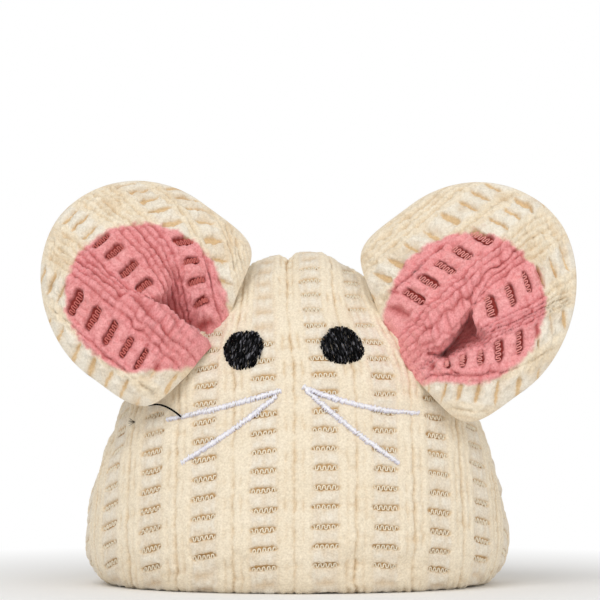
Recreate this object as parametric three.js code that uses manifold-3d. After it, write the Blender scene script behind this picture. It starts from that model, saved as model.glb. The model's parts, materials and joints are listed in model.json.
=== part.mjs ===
// Catnip mouse: a sitting, stuffed cat toy of ribbed chenille knit, with cupped ears, embroidered eyes
// and whiskers, a soft tail, loose filling and a bag of dried catnip.
// Millimetres, +Z up, the face looks towards -Y, and the origin is the middle of the flat base.
// Left and right are as seen from the front.

import * as THREE from "three";
import { mergeVertices } from "three/addons/utils/BufferGeometryUtils.js";
import Module from "manifold-3d";

// Body
const BODY_WIDTH = 98.5;
const BODY_DEPTH = 78;
const BODY_HEIGHT = 77;
const BULGE_HEIGHT = 10.5; // of the widest section above the floor
const BASE_INSET = 9; // from the widest section in to the edge of the flat underside
const BASE_WIDTH = 76; // of the separate panel that the toy sits on
const KNIT = 3.2; // thickness of a body panel
const CROWN_RISE = 1.65; // exponents of the egg outline: how soon it draws in, and how round its crown is
const CROWN_ROUND = 1.75;
const BASE_ROUND = 2.2;

// Seams and fits
const SEAM_GAP = 1.4; // valley between two panels that are sewn together
const THREAD = 0.8; // diameter of the doubled sewing thread
const CLEARANCE = 0.3; // between pieces that touch on the real toy

// Filling and catnip bag
const BAG_WIDTH = 38;
const BAG_THICK = 14;
const BAG_TALL = 30;
const BAG_HEIGHT = 30; // of the bag's middle above the floor
const MUSLIN = 0.8;

// Ears: each has its own place on the head, and both share one pattern
const EAR_WIDTH = 53.4;
const EAR_TALL = 45; // from its root to its tip
const EAR_WAIST = 19; // from the root to the widest line
const EAR_OFFSET = 1.5; // how far the outline lies above the middle of its root
const EAR_SLANT = 5.2; // how much further the tip lies above it
const EAR_TIP_BLUNT = 1.85;
const EAR_ROOT_BLUNT = 5.5;
const EAR_KNIT = 2.6;
const EAR_RIM = 1.1; // thickness of a panel where it turns in at the rim
const EAR_WADDING = 3; // at the ear's middle, tapering to nothing at its rim
const EAR_INNER_WIDTH = 36.5; // of the pink middle
const EAR_CUP = 5; // how far the ear stands forward of its root
const EAR_CUP_WIDTH = 11;
const EAR_CUP_TALL = 12;
const EAR_WRAP = 5; // how far the lobes beside the root lie back round the head
const EAR_RIDGE = 2; // height of the roll of cloth that runs up the ear's middle from its pleat
const EAR_RIDGE_WIDTH = 4;
const EAR_POCKET = 3.5; // depth of the pleat's pocket beside the ridge
const EAR_POCKET_WIDTH = 4.5;
const EAR_POCKET_TALL = 8;
const EAR_POCKET_RISE = 8; // from the root to the middle of the pocket
const EAR_POCKET_BESIDE = 5; // from the ridge to the middle of the pocket
const EAR_FOLD_BACK = 20; // degrees that the ear folds back and forward at its root
const EAR_FOLD_FORWARD = 60;
const EAR_SEAM_START = -20; // degrees round the outline from its widest line to where the rim seam starts
const EAR_SEAM_SWEEP = 220;
const LEFT_PLEAT = { start: -2, lean: 0, opens: 1 }; // where its ridge starts and leans, and its pocket's side
const RIGHT_PLEAT = { start: -6.3, lean: 0.4, opens: -1 };
const LEFT_EAR = { side: -1, round: 40, drop: 20.7, turn: 1.7, tilt: 23, lean: 30, pleat: LEFT_PLEAT };
const RIGHT_EAR = { side: 1, round: 47.5, drop: 22.8, turn: 6.3, tilt: 20, lean: 30, pleat: RIGHT_PLEAT };

// Embroidery: round is the angle from the middle of the face, drop is measured down from the crown
const EYE_WIDTH = 9.4;
const EYE_TALL = 8;
const EYE_RAISE = 1;
const LEFT_EYE = { round: -21.5, drop: 23.3 };
const RIGHT_EYE = { round: 17.5, drop: 22 };
const WHISKER_WIDTH = 2.2;
const WHISKER_RAISE = 0.9;
const LEFT_UPPER_WHISKER = { round: -5, drop: 32.8, tipRound: -43, tipDrop: 39 };
const LEFT_LOWER_WHISKER = { round: -13, drop: 36.8, tipRound: -34, tipDrop: 48 };
const RIGHT_UPPER_WHISKER = { round: 2, drop: 32.3, tipRound: 41, tipDrop: 37.4 };
const RIGHT_LOWER_WHISKER = { round: 6.5, drop: 35.6, tipRound: 29.5, tipDrop: 48 };

// Tail
const TAIL_LENGTH = 84;
const TAIL_ROOT = 12; // diameters
const TAIL_TIP = 9;
const TAIL_KNIT = 2.2;
const TAIL_HEIGHT = 14; // of the root's middle above the floor
const TAIL_BEND = 75; // degrees that the tail curves round on the floor
const TAIL_LANDS = 0.55; // share of its length at which it reaches the floor

// Facets
const BODY_SIDES = 36;
const CROWN_RINGS = 9;
const BASE_RINGS = 3;
const EAR_SIDES = 30;
const EAR_INNER_RINGS = 4;
const EAR_RIM_RINGS = 2;
const TAIL_SIDES = 12;
const TAIL_STEPS = 18;
const BAG_SIDES = 18;
const BAG_RINGS = 10;
const EYE_SIDES = 16;
const EYE_RINGS = 8;
const WHISKER_SIDES = 10;
const WHISKER_STEPS = 8;
const THREAD_SIDES = 5;
const SIDE_SEAM_STEPS = 36;
const EAR_SEAM_STEPS = 26;
const LEAST_RADIUS = 0.3; // of a tube's end rings
const MERGE_DISTANCE = 1e-4;

// Colours
const CREAM = { color: 0xeeddc1, roughness: 0.95, metalness: 0 };
const PINK = { color: 0xde8e8d, roughness: 0.95, metalness: 0 };
const BLACK_THREAD = { color: 0x1c1b1d, roughness: 0.5, metalness: 0 };
const WHITE_THREAD = { color: 0xf4f2f6, roughness: 0.4, metalness: 0 };
const SEWING_THREAD = { color: 0xe2cfae, roughness: 0.7, metalness: 0 };
const FIBRE_FILL = { color: 0xf7f6f2, roughness: 1, metalness: 0 };
const MUSLIN_CLOTH = { color: 0xd9cfb8, roughness: 0.95, metalness: 0 };
const DRIED_HERB = { color: 0x6f7545, roughness: 1, metalness: 0 };

const wasm = await Module();
wasm.setup();

// A closed geometry as a solid for joining and cutting, whichever way round its faces were made.
function solid(geometry) {
  const bare = geometry.clone();
  bare.deleteAttribute("normal");
  bare.deleteAttribute("uv");
  const merged = mergeVertices(bare, MERGE_DISTANCE);
  const corners = [];
  for (let i = 0; i < merged.index.count; i += 3) {
    const [a, b, c] = [0, 1, 2].map((k) => merged.index.getX(i + k));
    if (a !== b && b !== c && c !== a) corners.push([a, b, c]);
  }
  const build = (triangles) =>
    new wasm.Manifold(
      new wasm.Mesh({
        numProp: 3,
        vertProperties: new Float32Array(merged.attributes.position.array),
        triVerts: new Uint32Array(triangles.flat()),
      }),
    );
  const made = build(corners);
  return made.volume() > 0 ? made : build(corners.map(([a, b, c]) => [a, c, b]));
}

// The largest body of a solid, as a geometry with its own normals.
function geometryOf(made) {
  const largest = made.decompose().reduce((a, b) => (a.volume() > b.volume() ? a : b));
  const mesh = largest.getMesh();
  const points = new Float32Array(mesh.numVert * 3);
  for (let i = 0; i < mesh.numVert; i++) {
    points.set(mesh.vertProperties.subarray(i * mesh.numProp, i * mesh.numProp + 3), i * 3);
  }
  const geometry = new THREE.BufferGeometry();
  geometry.setAttribute("position", new THREE.BufferAttribute(points, 3));
  geometry.setIndex(new THREE.BufferAttribute(mesh.triVerts, 1));
  const faceted = geometry.toNonIndexed();
  faceted.computeVertexNormals();
  return faceted;
}

function piece(name, made, look) {
  const mesh = new THREE.Mesh(geometryOf(made), new THREE.MeshStandardMaterial(look));
  mesh.name = name;
  return mesh;
}

const radians = THREE.MathUtils.degToRad;

// Body outline: the share of its full width at a height, with every side moved out by grow.
function bodyShare(z, grow) {
  if (z >= BULGE_HEIGHT) {
    const up = Math.min(1, (z - BULGE_HEIGHT) / (BODY_HEIGHT + grow - BULGE_HEIGHT));
    return (1 - up ** CROWN_RISE) ** (1 / CROWN_ROUND);
  }
  const down = Math.min(1, (BULGE_HEIGHT - z) / (BULGE_HEIGHT + grow));
  const drawnIn = 1 - (1 - down ** BASE_ROUND) ** (1 / BASE_ROUND);
  return 1 - (BASE_INSET / (BODY_WIDTH / 2)) * drawnIn;
}

// Heights at which the body's outline has a ring, from the floor to the crown.
function bodyHeights(grow) {
  const heights = [];
  for (let i = 0; i < BASE_RINGS; i++) {
    const turn = (Math.PI / 2) * (1 - i / BASE_RINGS);
    heights.push(BULGE_HEIGHT - (BULGE_HEIGHT + grow) * Math.sin(turn));
  }
  for (let i = 0; i < CROWN_RINGS; i++) {
    const turn = ((Math.PI / 2) * i) / CROWN_RINGS;
    heights.push(BULGE_HEIGHT + (BODY_HEIGHT + grow - BULGE_HEIGHT) * Math.sin(turn));
  }
  return heights;
}

function bodyGeometry(grow) {
  const outline = [new THREE.Vector2(0, -grow)];
  for (const z of bodyHeights(grow)) outline.push(new THREE.Vector2(bodyShare(z, grow), z));
  outline.push(new THREE.Vector2(0, BODY_HEIGHT + grow));
  const lathe = new THREE.LatheGeometry(outline, BODY_SIDES);
  lathe.rotateX(Math.PI / 2);
  return lathe.scale(BODY_WIDTH / 2 + grow, BODY_DEPTH / 2 + grow, 1);
}

// A point on the body at an angle from the middle of the face and a height, and the way out there.
function bodyPoint(round, z) {
  const share = bodyShare(z, 0);
  const angle = radians(round);
  return new THREE.Vector3(
    (BODY_WIDTH / 2) * share * Math.sin(angle),
    (-BODY_DEPTH / 2) * share * Math.cos(angle),
    z,
  );
}

function bodyNormal(round, z) {
  const step = 0.05;
  const across = bodyPoint(round + step, z).sub(bodyPoint(round - step, z));
  const up = bodyPoint(round, z + step).sub(bodyPoint(round, z - step));
  return across.cross(up).normalize();
}

// Everything on one side of the seam plane, leaving half of gap free beside it.
function sideOfSeam(side, gap) {
  const reach = BODY_WIDTH + BODY_DEPTH + BODY_HEIGHT;
  const box = new THREE.BoxGeometry(2 * reach, reach, 2 * reach);
  return solid(box.translate(0, side * (reach / 2 + gap / 2), 0));
}

// An upright oval slab of the base panel's shape, with every side but its height moved out by grow.
function baseSlab(grow, bottom, top) {
  const narrow = BODY_DEPTH / BODY_WIDTH;
  const slab = new THREE.CylinderGeometry(1, 1, top - bottom, BODY_SIDES);
  slab.rotateX(Math.PI / 2).translate(0, 0, (top + bottom) / 2);
  return solid(slab.scale(BASE_WIDTH / 2 + grow, (BASE_WIDTH / 2) * narrow + grow, 1));
}

function bodyPanels() {
  const cover = solid(bodyGeometry(0)).subtract(solid(bodyGeometry(-KNIT)));
  const sides = cover.subtract(baseSlab(SEAM_GAP, -CLEARANCE, KNIT + CLEARANCE));
  return [
    piece("front_panel", sides.intersect(sideOfSeam(-1, SEAM_GAP)), CREAM),
    piece("back_panel", sides.intersect(sideOfSeam(1, SEAM_GAP)), CREAM),
    piece("base_panel", baseSlab(0, 0, KNIT), CREAM),
  ];
}

function bagSolid(grow) {
  const ball = new THREE.SphereGeometry(1, BAG_SIDES, BAG_RINGS);
  ball.scale(BAG_WIDTH / 2 + grow, BAG_THICK / 2 + grow, BAG_TALL / 2 + grow);
  return solid(ball.translate(0, 0, BAG_HEIGHT));
}

function stuffing() {
  const inside = solid(bodyGeometry(-KNIT - CLEARANCE)).subtract(bagSolid(CLEARANCE));
  const bag = bagSolid(0).subtract(bagSolid(-MUSLIN));
  return [
    piece("front_filling", inside.intersect(sideOfSeam(-1, CLEARANCE)), FIBRE_FILL),
    piece("back_filling", inside.intersect(sideOfSeam(1, CLEARANCE)), FIBRE_FILL),
    piece("catnip_bag_front", bag.intersect(sideOfSeam(-1, CLEARANCE)), MUSLIN_CLOTH),
    piece("catnip_bag_back", bag.intersect(sideOfSeam(1, CLEARANCE)), MUSLIN_CLOTH),
    piece("catnip_herb", bagSolid(-MUSLIN - CLEARANCE), DRIED_HERB),
  ];
}

function circle(radius, sides) {
  const points = [];
  for (let i = 0; i < sides; i++) {
    const angle = (2 * Math.PI * i) / sides;
    points.push(new THREE.Vector2(radius * Math.cos(angle), radius * Math.sin(angle)));
  }
  return new THREE.Shape(points);
}

// A round thread or band along points, as a closed tube.
function tube(points, diameter, sides, steps) {
  const path = new THREE.CatmullRomCurve3(points);
  const shape = circle(diameter / 2, sides);
  return solid(new THREE.ExtrudeGeometry(shape, { steps, extrudePath: path, bevelEnabled: false }));
}

// The side seam runs from the base on the left, over the crown, to the base on the right.
function seamThreads() {
  const inset = KNIT / 2;
  const right = bodyHeights(-inset)
    .slice(1)
    .map((z) => new THREE.Vector3((BODY_WIDTH / 2 - inset) * bodyShare(z, -inset), 0, z));
  const left = right.map((p) => new THREE.Vector3(-p.x, 0, p.z)).reverse();
  const crown = new THREE.Vector3(0, 0, BODY_HEIGHT - inset);
  const arch = tube([...right, crown, ...left], THREAD, THREAD_SIDES, SIDE_SEAM_STEPS);

  const middle = BASE_WIDTH / 2 + SEAM_GAP / 2;
  const ring = new THREE.TorusGeometry(middle, THREAD / 2, THREAD_SIDES, BODY_SIDES);
  const narrow = ((BASE_WIDTH / 2) * (BODY_DEPTH / BODY_WIDTH) + SEAM_GAP / 2) / middle;
  ring.scale(1, narrow, 1).translate(0, 0, KNIT / 2);
  return [
    piece("side_seam_thread", arch, SEWING_THREAD),
    piece("base_seam_thread", solid(ring), SEWING_THREAD),
  ];
}

// Embroidery lies on the face panel and follows its curve.
function eye(name, place) {
  const z = BODY_HEIGHT - place.drop;
  const out = bodyNormal(place.round, z);
  const patch = new THREE.SphereGeometry(1, EYE_SIDES, EYE_RINGS);
  patch.scale(EYE_WIDTH / 2, EYE_TALL / 2, EYE_RAISE + CLEARANCE);
  const turn = new THREE.Matrix4().lookAt(out, new THREE.Vector3(), new THREE.Vector3(0, 0, 1));
  patch.applyMatrix4(turn);
  patch.translate(...bodyPoint(place.round, z));
  return piece(name, solid(patch).subtract(solid(bodyGeometry(CLEARANCE))), BLACK_THREAD);
}

function whisker(name, place) {
  const points = [];
  const stops = 6;
  for (let i = 0; i <= stops; i++) {
    const round = THREE.MathUtils.lerp(place.round, place.tipRound, i / stops);
    const z = BODY_HEIGHT - THREE.MathUtils.lerp(place.drop, place.tipDrop, i / stops);
    const sunk = WHISKER_RAISE + CLEARANCE - WHISKER_WIDTH / 2;
    points.push(bodyPoint(round, z).addScaledVector(bodyNormal(round, z), sunk));
  }
  const band = tube(points, WHISKER_WIDTH, WHISKER_SIDES, WHISKER_STEPS);
  return piece(name, band.subtract(solid(bodyGeometry(CLEARANCE))), WHITE_THREAD);
}

function embroidery() {
  return [
    eye("eye_left", LEFT_EYE),
    eye("eye_right", RIGHT_EYE),
    whisker("whisker_left_upper", LEFT_UPPER_WHISKER),
    whisker("whisker_left_lower", LEFT_LOWER_WHISKER),
    whisker("whisker_right_upper", RIGHT_UPPER_WHISKER),
    whisker("whisker_right_lower", RIGHT_LOWER_WHISKER),
  ];
}

// Ear pattern, in the ear's own frame: X along its root, Y from root to tip, Z out of its front.
function earOutline(angle, share) {
  const power = (value, blunt) => Math.sign(value) * Math.abs(value) ** (2 / blunt);
  const blunt = Math.sin(angle) > 0 ? EAR_TIP_BLUNT : EAR_ROOT_BLUNT;
  const tall = Math.sin(angle) > 0 ? EAR_TALL - EAR_WAIST : EAR_WAIST;
  const y = EAR_WAIST + share * tall * power(Math.sin(angle), blunt);
  const middle = EAR_OFFSET + EAR_SLANT * (y / EAR_TALL);
  return new THREE.Vector2(middle + share * (EAR_WIDTH / 2) * power(Math.cos(angle), blunt), y);
}

// Height of the ear's middle surface: it starts at the root, cups forward, and its lobes lie back.
// One pleat at the root leaves a ridge up the middle and a pocket beside it, above or below.
function earMiddle(x, y, pleat) {
  const bump = (offset, width) => Math.exp(-((offset / width) ** 2));
  const fade = Math.max(0, 1 - y / EAR_TALL);
  const cup = EAR_CUP * (1 - bump(x, EAR_CUP_WIDTH) * bump(y, EAR_CUP_TALL));
  const wrap = EAR_WRAP * (x / (EAR_WIDTH / 2)) ** 2 * fade;
  const beside = pleat.opens * (x - pleat.start - pleat.lean * y);
  const ridge = EAR_RIDGE * bump(beside, EAR_RIDGE_WIDTH) * fade;
  const across = bump(beside - EAR_POCKET_BESIDE, EAR_POCKET_WIDTH);
  const inPocket = across * bump(y - EAR_POCKET_RISE, EAR_POCKET_TALL);
  return cup - wrap + ridge - EAR_POCKET * inPocket;
}

// Half the room between the ear's two panels, swollen by wadding in the middle and sewn shut at the rim.
function earSwell(share) {
  return SEAM_GAP / 2 + (EAR_WADDING / 2 + CLEARANCE - SEAM_GAP / 2) * (1 - share ** 3);
}

// Thickness of an ear panel, thinner where it turns in at the rim.
function earKnit(share) {
  return THREE.MathUtils.lerp(EAR_KNIT, EAR_RIM, share ** 4);
}

// Shares of the outline at which a layer has rings. All layers share them, so that their facets stay apart.
function earRings(inner, outer) {
  const edge = EAR_INNER_WIDTH / EAR_WIDTH;
  const rings = [];
  for (let i = 1; i <= EAR_INNER_RINGS; i++) rings.push((edge * i) / EAR_INNER_RINGS);
  for (let i = 1; i <= EAR_RIM_RINGS; i++) rings.push(edge + ((1 - edge) * i) / EAR_RIM_RINGS);
  const between = rings.filter((share) => share > inner && share < outer);
  return inner > 0 ? [inner, ...between, outer] : [...between, outer];
}

// A closed layer of the ear between two shares of its outline and two heights above its middle surface.
function earLayer({ side, pleat }, inner, outer, low, high) {
  const points = [];
  const faces = [];
  const rings = earRings(inner, outer);
  const rows = rings.length;
  const put = (angle, share, height) => {
    const { x, y } = earOutline(angle, share);
    points.push(-side * x, y, earMiddle(x, y, pleat) + height(share));
  };
  for (const height of [high, low]) {
    for (const share of rings) {
      for (let k = 0; k < EAR_SIDES; k++) put((2 * Math.PI * k) / EAR_SIDES, share, height);
    }
  }
  const at = (layer, row, k) => (layer * rows + row) * EAR_SIDES + (k % EAR_SIDES);
  const quad = (a, b, c, d) => faces.push(a, b, c, a, c, d);
  for (let k = 0; k < EAR_SIDES; k++) {
    for (let row = 0; row + 1 < rows; row++) {
      quad(at(0, row, k), at(0, row + 1, k), at(0, row + 1, k + 1), at(0, row, k + 1));
      quad(at(1, row, k), at(1, row, k + 1), at(1, row + 1, k + 1), at(1, row + 1, k));
    }
    quad(at(0, rows - 1, k), at(1, rows - 1, k), at(1, rows - 1, k + 1), at(0, rows - 1, k + 1));
    if (inner > 0) quad(at(0, 0, k), at(0, 0, k + 1), at(1, 0, k + 1), at(1, 0, k));
  }
  if (inner === 0) {
    const centre = points.length / 3;
    put(0, 0, high);
    put(0, 0, low);
    for (let k = 0; k < EAR_SIDES; k++) {
      faces.push(centre, at(0, 0, k), at(0, 0, k + 1), centre + 1, at(1, 0, k + 1), at(1, 0, k));
    }
  }
  const geometry = new THREE.BufferGeometry();
  geometry.setAttribute("position", new THREE.Float32BufferAttribute(points, 3));
  geometry.setIndex(faces);
  return solid(geometry);
}

// The ear's frame on the head: its root touches the head, and its front faces turn and tilt.
function earFrame({ side, round, drop, turn, tilt, lean }) {
  const z = BODY_HEIGHT - drop;
  const root = bodyPoint(side * round, z).addScaledVector(bodyNormal(side * round, z), CLEARANCE);
  const out = new THREE.Vector3(
    -side * Math.sin(radians(turn)) * Math.cos(radians(tilt)),
    -Math.cos(radians(turn)) * Math.cos(radians(tilt)),
    Math.sin(radians(tilt)),
  );
  const up = new THREE.Vector3(0, 0, 1).addScaledVector(out, -out.z).normalize();
  const along = up.applyAxisAngle(out, side * radians(lean)).multiplyScalar(-side);
  const tip = new THREE.Vector3().crossVectors(out, along);
  return new THREE.Matrix4().makeBasis(along, tip, out).setPosition(root);
}

// Room that the head takes up, seen from the ear, as the ear folds through its range.
function headFromEar(frame) {
  const angles = [-EAR_FOLD_BACK, 0, EAR_FOLD_FORWARD / 2, EAR_FOLD_FORWARD];
  const heads = angles.map((angle) => {
    const head = bodyGeometry(CLEARANCE).applyMatrix4(frame.clone().invert());
    return solid(head.rotateX(radians(-angle)));
  });
  return heads.reduce((a, b) => a.add(b));
}

function earThread({ side, pleat }) {
  const share = 1 - EAR_KNIT / (EAR_WIDTH / 2);
  const points = [];
  const stops = 20;
  for (let i = 0; i <= stops; i++) {
    const { x, y } = earOutline(radians(EAR_SEAM_START + (EAR_SEAM_SWEEP * i) / stops), share);
    points.push(new THREE.Vector3(-side * x, y, earMiddle(x, y, pleat)));
  }
  return tube(points, THREAD, THREAD_SIDES, EAR_SEAM_STEPS);
}

function ear(name, place) {
  const group = new THREE.Group();
  const frame = earFrame(place);
  frame.decompose(group.position, group.quaternion, group.scale);
  const head = headFromEar(frame);
  const inner = EAR_INNER_WIDTH / EAR_WIDTH;
  const split = CLEARANCE / (EAR_WIDTH / 2);
  const near = (share) => earSwell(share);
  const far = (share) => earSwell(share) + earKnit(share);
  const room = (share) => earSwell(share) - CLEARANCE;
  const layers = [
    ["front", inner + split, 1, near, far, CREAM],
    ["inner", 0, inner, near, far, PINK],
    ["back", 0, 1, (share) => -far(share), (share) => -near(share), CREAM],
    ["wadding", 0, inner - split, (share) => -room(share), room, FIBRE_FILL],
  ];
  for (const [part, from, to, low, high, look] of layers) {
    const layer = earLayer(place, from, to, low, high);
    group.add(piece(`${name}_${part}`, layer.subtract(head), look));
  }
  group.add(piece(`${name}_seam_thread`, earThread(place).subtract(head), SEWING_THREAD));
  return group;
}

// The tail leaves the back level, sinks to the floor and curves round on it.
class TailLine extends THREE.Curve {
  getPoint(t) {
    const bend = radians(TAIL_BEND);
    const sweep = TAIL_LENGTH / bend;
    const sink = THREE.MathUtils.smoothstep(t, 0, TAIL_LANDS);
    return new THREE.Vector3(
      sweep * (1 - Math.cos(bend * t)),
      BODY_DEPTH / 2 + CLEARANCE + sweep * Math.sin(bend * t),
      tailRadius(t) + (TAIL_HEIGHT - TAIL_ROOT / 2) * (1 - sink),
    );
  }
}

function tailRadius(t) {
  return THREE.MathUtils.lerp(TAIL_ROOT, TAIL_TIP, t) / 2;
}

// A closed tube along the tail whose radius follows a function of the share of its length.
function tailTube(radiusAt) {
  const line = new TailLine();
  const points = [];
  const faces = [];
  for (let i = 0; i <= TAIL_STEPS; i++) {
    const t = (1 - Math.cos((Math.PI * i) / TAIL_STEPS)) / 2; // rings lie closer together towards both ends
    const ahead = line.getTangent(t);
    const beside = new THREE.Vector3(ahead.y, -ahead.x, 0).normalize();
    const above = new THREE.Vector3().crossVectors(beside, ahead);
    for (let k = 0; k < TAIL_SIDES; k++) {
      const angle = (2 * Math.PI * k) / TAIL_SIDES;
      const p = line.getPoint(t);
      p.addScaledVector(beside, radiusAt(t) * Math.cos(angle));
      p.addScaledVector(above, radiusAt(t) * Math.sin(angle));
      points.push(...p);
    }
  }
  const at = (i, k) => i * TAIL_SIDES + (k % TAIL_SIDES);
  const ends = [points.length / 3, points.length / 3 + 1];
  points.push(...line.getPoint(0), ...line.getPoint(1));
  for (let k = 0; k < TAIL_SIDES; k++) {
    for (let i = 0; i < TAIL_STEPS; i++) {
      faces.push(at(i, k), at(i + 1, k), at(i + 1, k + 1), at(i, k), at(i + 1, k + 1), at(i, k + 1));
    }
    faces.push(ends[0], at(0, k), at(0, k + 1));
    faces.push(ends[1], at(TAIL_STEPS, k + 1), at(TAIL_STEPS, k));
  }
  const geometry = new THREE.BufferGeometry();
  geometry.setAttribute("position", new THREE.Float32BufferAttribute(points, 3));
  geometry.setIndex(faces);
  return solid(geometry);
}

function tail() {
  const rounded = (t, radius) => {
    const end = Math.min(1, (Math.min(t, 1 - t) * TAIL_LENGTH) / radius);
    return radius * Math.sqrt(1 - (1 - end) ** 2);
  };
  const outside = tailTube((t) => Math.max(LEAST_RADIUS, rounded(t, tailRadius(t))));
  const core = (inset) =>
    tailTube((t) => {
      const radius = tailRadius(t) - inset;
      const fromTip = Math.max(0, (1 - t) * TAIL_LENGTH - inset);
      const end = Math.min(1, fromTip / radius);
      return Math.max(LEAST_RADIUS, radius * Math.sqrt(1 - (1 - end) ** 2));
    });
  return [
    piece("tail_cover", outside.subtract(core(TAIL_KNIT)), CREAM),
    piece("tail_filling", outside.intersect(core(TAIL_KNIT + CLEARANCE)), FIBRE_FILL),
  ];
}

const mouse = new THREE.Group();
mouse.add(
  ...bodyPanels(),
  ...seamThreads(),
  ...stuffing(),
  ...embroidery(),
  ear("ear_left", LEFT_EAR),
  ear("ear_right", RIGHT_EAR),
  ...tail(),
);

export default mouse;
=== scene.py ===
"""Looks of the catnip mouse: ladder-knit chenille over stuffed forms, satin embroidery and a plain studio.

Sizes are millimetres until a mesh is made, +Z is up and the face looks towards -Y.
Left and right are as seen from the front.
"""

import json
import math

import bpy
import numpy as np
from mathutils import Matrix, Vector


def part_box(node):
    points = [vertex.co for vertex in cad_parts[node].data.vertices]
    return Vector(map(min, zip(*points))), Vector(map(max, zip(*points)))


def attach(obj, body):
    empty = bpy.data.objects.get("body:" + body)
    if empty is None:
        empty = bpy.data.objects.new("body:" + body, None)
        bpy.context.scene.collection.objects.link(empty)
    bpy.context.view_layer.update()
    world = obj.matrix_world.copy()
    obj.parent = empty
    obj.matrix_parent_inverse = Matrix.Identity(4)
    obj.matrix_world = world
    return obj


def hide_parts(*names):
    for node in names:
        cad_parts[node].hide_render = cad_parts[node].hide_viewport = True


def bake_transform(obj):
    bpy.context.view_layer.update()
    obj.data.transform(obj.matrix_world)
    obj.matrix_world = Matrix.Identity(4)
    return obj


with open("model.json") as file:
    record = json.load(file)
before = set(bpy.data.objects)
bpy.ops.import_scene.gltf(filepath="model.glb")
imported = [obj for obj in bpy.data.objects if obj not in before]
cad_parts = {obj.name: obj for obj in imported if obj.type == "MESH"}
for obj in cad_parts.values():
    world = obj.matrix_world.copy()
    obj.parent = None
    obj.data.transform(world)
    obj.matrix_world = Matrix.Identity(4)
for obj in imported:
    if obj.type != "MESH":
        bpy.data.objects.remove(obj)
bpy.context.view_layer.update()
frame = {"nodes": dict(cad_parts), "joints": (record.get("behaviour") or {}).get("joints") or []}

MM = 0.001
NODES = frame["nodes"]
JOINTS = {joint["name"]: joint for joint in frame["joints"]}

# Body outline, the same as the solids'
BODY_WIDTH = 98.5
BODY_DEPTH = 78.0
BODY_HEIGHT = 77.0
DEPTH_SHARE = BODY_DEPTH / BODY_WIDTH
BULGE_HEIGHT = 10.5
BASE_INSET = 9.0
BASE_WIDTH = 76.0
CROWN_RISE = 1.65
CROWN_ROUND = 1.75
BASE_ROUND = 2.2
ON_FLOOR = 0.02  # the least height of the cloth above the floor
CREASED = (58, 74)  # heights between which the creases of the crown begin
CROWN_CREASES = ((1.5, -1.9, 1.7), (-0.9, 4.6, 4.5), (-0.4, -6.0, 3.0))  # depth, place across and width

# Cloth simulation of the body, which finds how its filling swells it
SWELL_GRID = (34, 96)  # rows up and columns round
SWELL_FRAMES = 20
SWELL_PRESSURE = 40.0
SWELL_SPARE = 0.02  # share by which the cloth is larger than the body's outline
SWELL_CAP = 1.2

# Knit: fat ribs beside open ladders, whose rungs are one course apart
REPEAT = 13.6  # from one ladder to the next
COURSE = 4.34
GAP_HALF = 0.62  # half the height of the gap between two rungs
RIB_TOP = 1.0  # heights above the bottom of the deep groove
GAP_FLOOR = -0.05
MEAN_RELIEF = 0.5  # the part of the relief that lies inside the solids' outline
SEAM_VALLEY = 1.9
LACE_HEIGHT = -0.12  # of the ground cloth's threads in the gaps
LACE_LOOPS = 5
BODY_CLOTH = {  # lace: the thread's place in a gap, the gap's opening and the thread's radius
    "ladder": 5.8, "ribs": 4, "grooves": (0.6, 0.36, 0.0), "rung": 0.82, "between": 0.5,
    "tufts": 0.5, "tuft": 2.1, "filled": 0.35, "wander": 0.3, "nap": 0.1, "lace": (-0.2, 1.0, 0.17),
}
EAR_CLOTH = {
    "ladder": 4.6, "ribs": 6, "grooves": (0.45, 0.0, 0.1, -0.2), "rung": 1.0, "between": 0.0,
    "tuft": 1.6, "wander": 0.42, "nap": 0.26, "lace": (-0.25, 1.2, 0.16),
}

# How the cloth lies on the body
CROWN_SQUEEZE = 0.22  # share by which the ladders draw together at the crown
CROWN_LEAN = -1.9
SQUEEZED = (48, 68)  # heights between which they begin
LEANING = (44, 68)
PANEL_SHIFT = -0.55  # of the middle rib, to the left of the face's middle
COURSE_TILT = -0.053
COURSE_BEND = 0.00285
COURSE_START = 0.886

# Ears, the same pattern as the solids'
EAR_WIDTH = 53.4
EAR_TALL = 45.0
EAR_WAIST = 19.0
EAR_OFFSET = 1.5
EAR_SLANT = 5.2
EAR_TIP_BLUNT = 1.85
EAR_ROOT_BLUNT = 5.5
EAR_CUP = 5.0
EAR_CUP_WIDTH = 11.0
EAR_CUP_TALL = 12.0
EAR_WRAP = 5.0
EAR_PUFF = 4.2  # from the ear's middle surface out to its cloth
EAR_REPEAT = 16.2  # the ears' cloth is stretched
EAR_CLIMB = (-5.0, 0.0, 10.0, 20.0, 30.0, 45.0, 60.0)  # lengths up from the root
EAR_COURSES = (-1.43, 0.0, 2.59, 4.75, 6.61, 10.8, 15.0)  # courses up to each, fewest where it is stretched
EAR_COURSE_CENTRE = 5.0  # below the root, where the point lies that the courses curve round beside the pleat
EAR_COLUMN_SLANT = 0.2
HIDDEN_RIBS = 4
EAR_TUCK = 2.5  # length of cloth that is sewn in at the root
EAR_BENDS_TO = 8  # height above the root from which the cloth turns fully with the ear
PINK_X = -0.8
PINK_Y = 15.8
PINK_RADIUS = 18.0
PAD_SHRINK = 0.7
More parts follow.
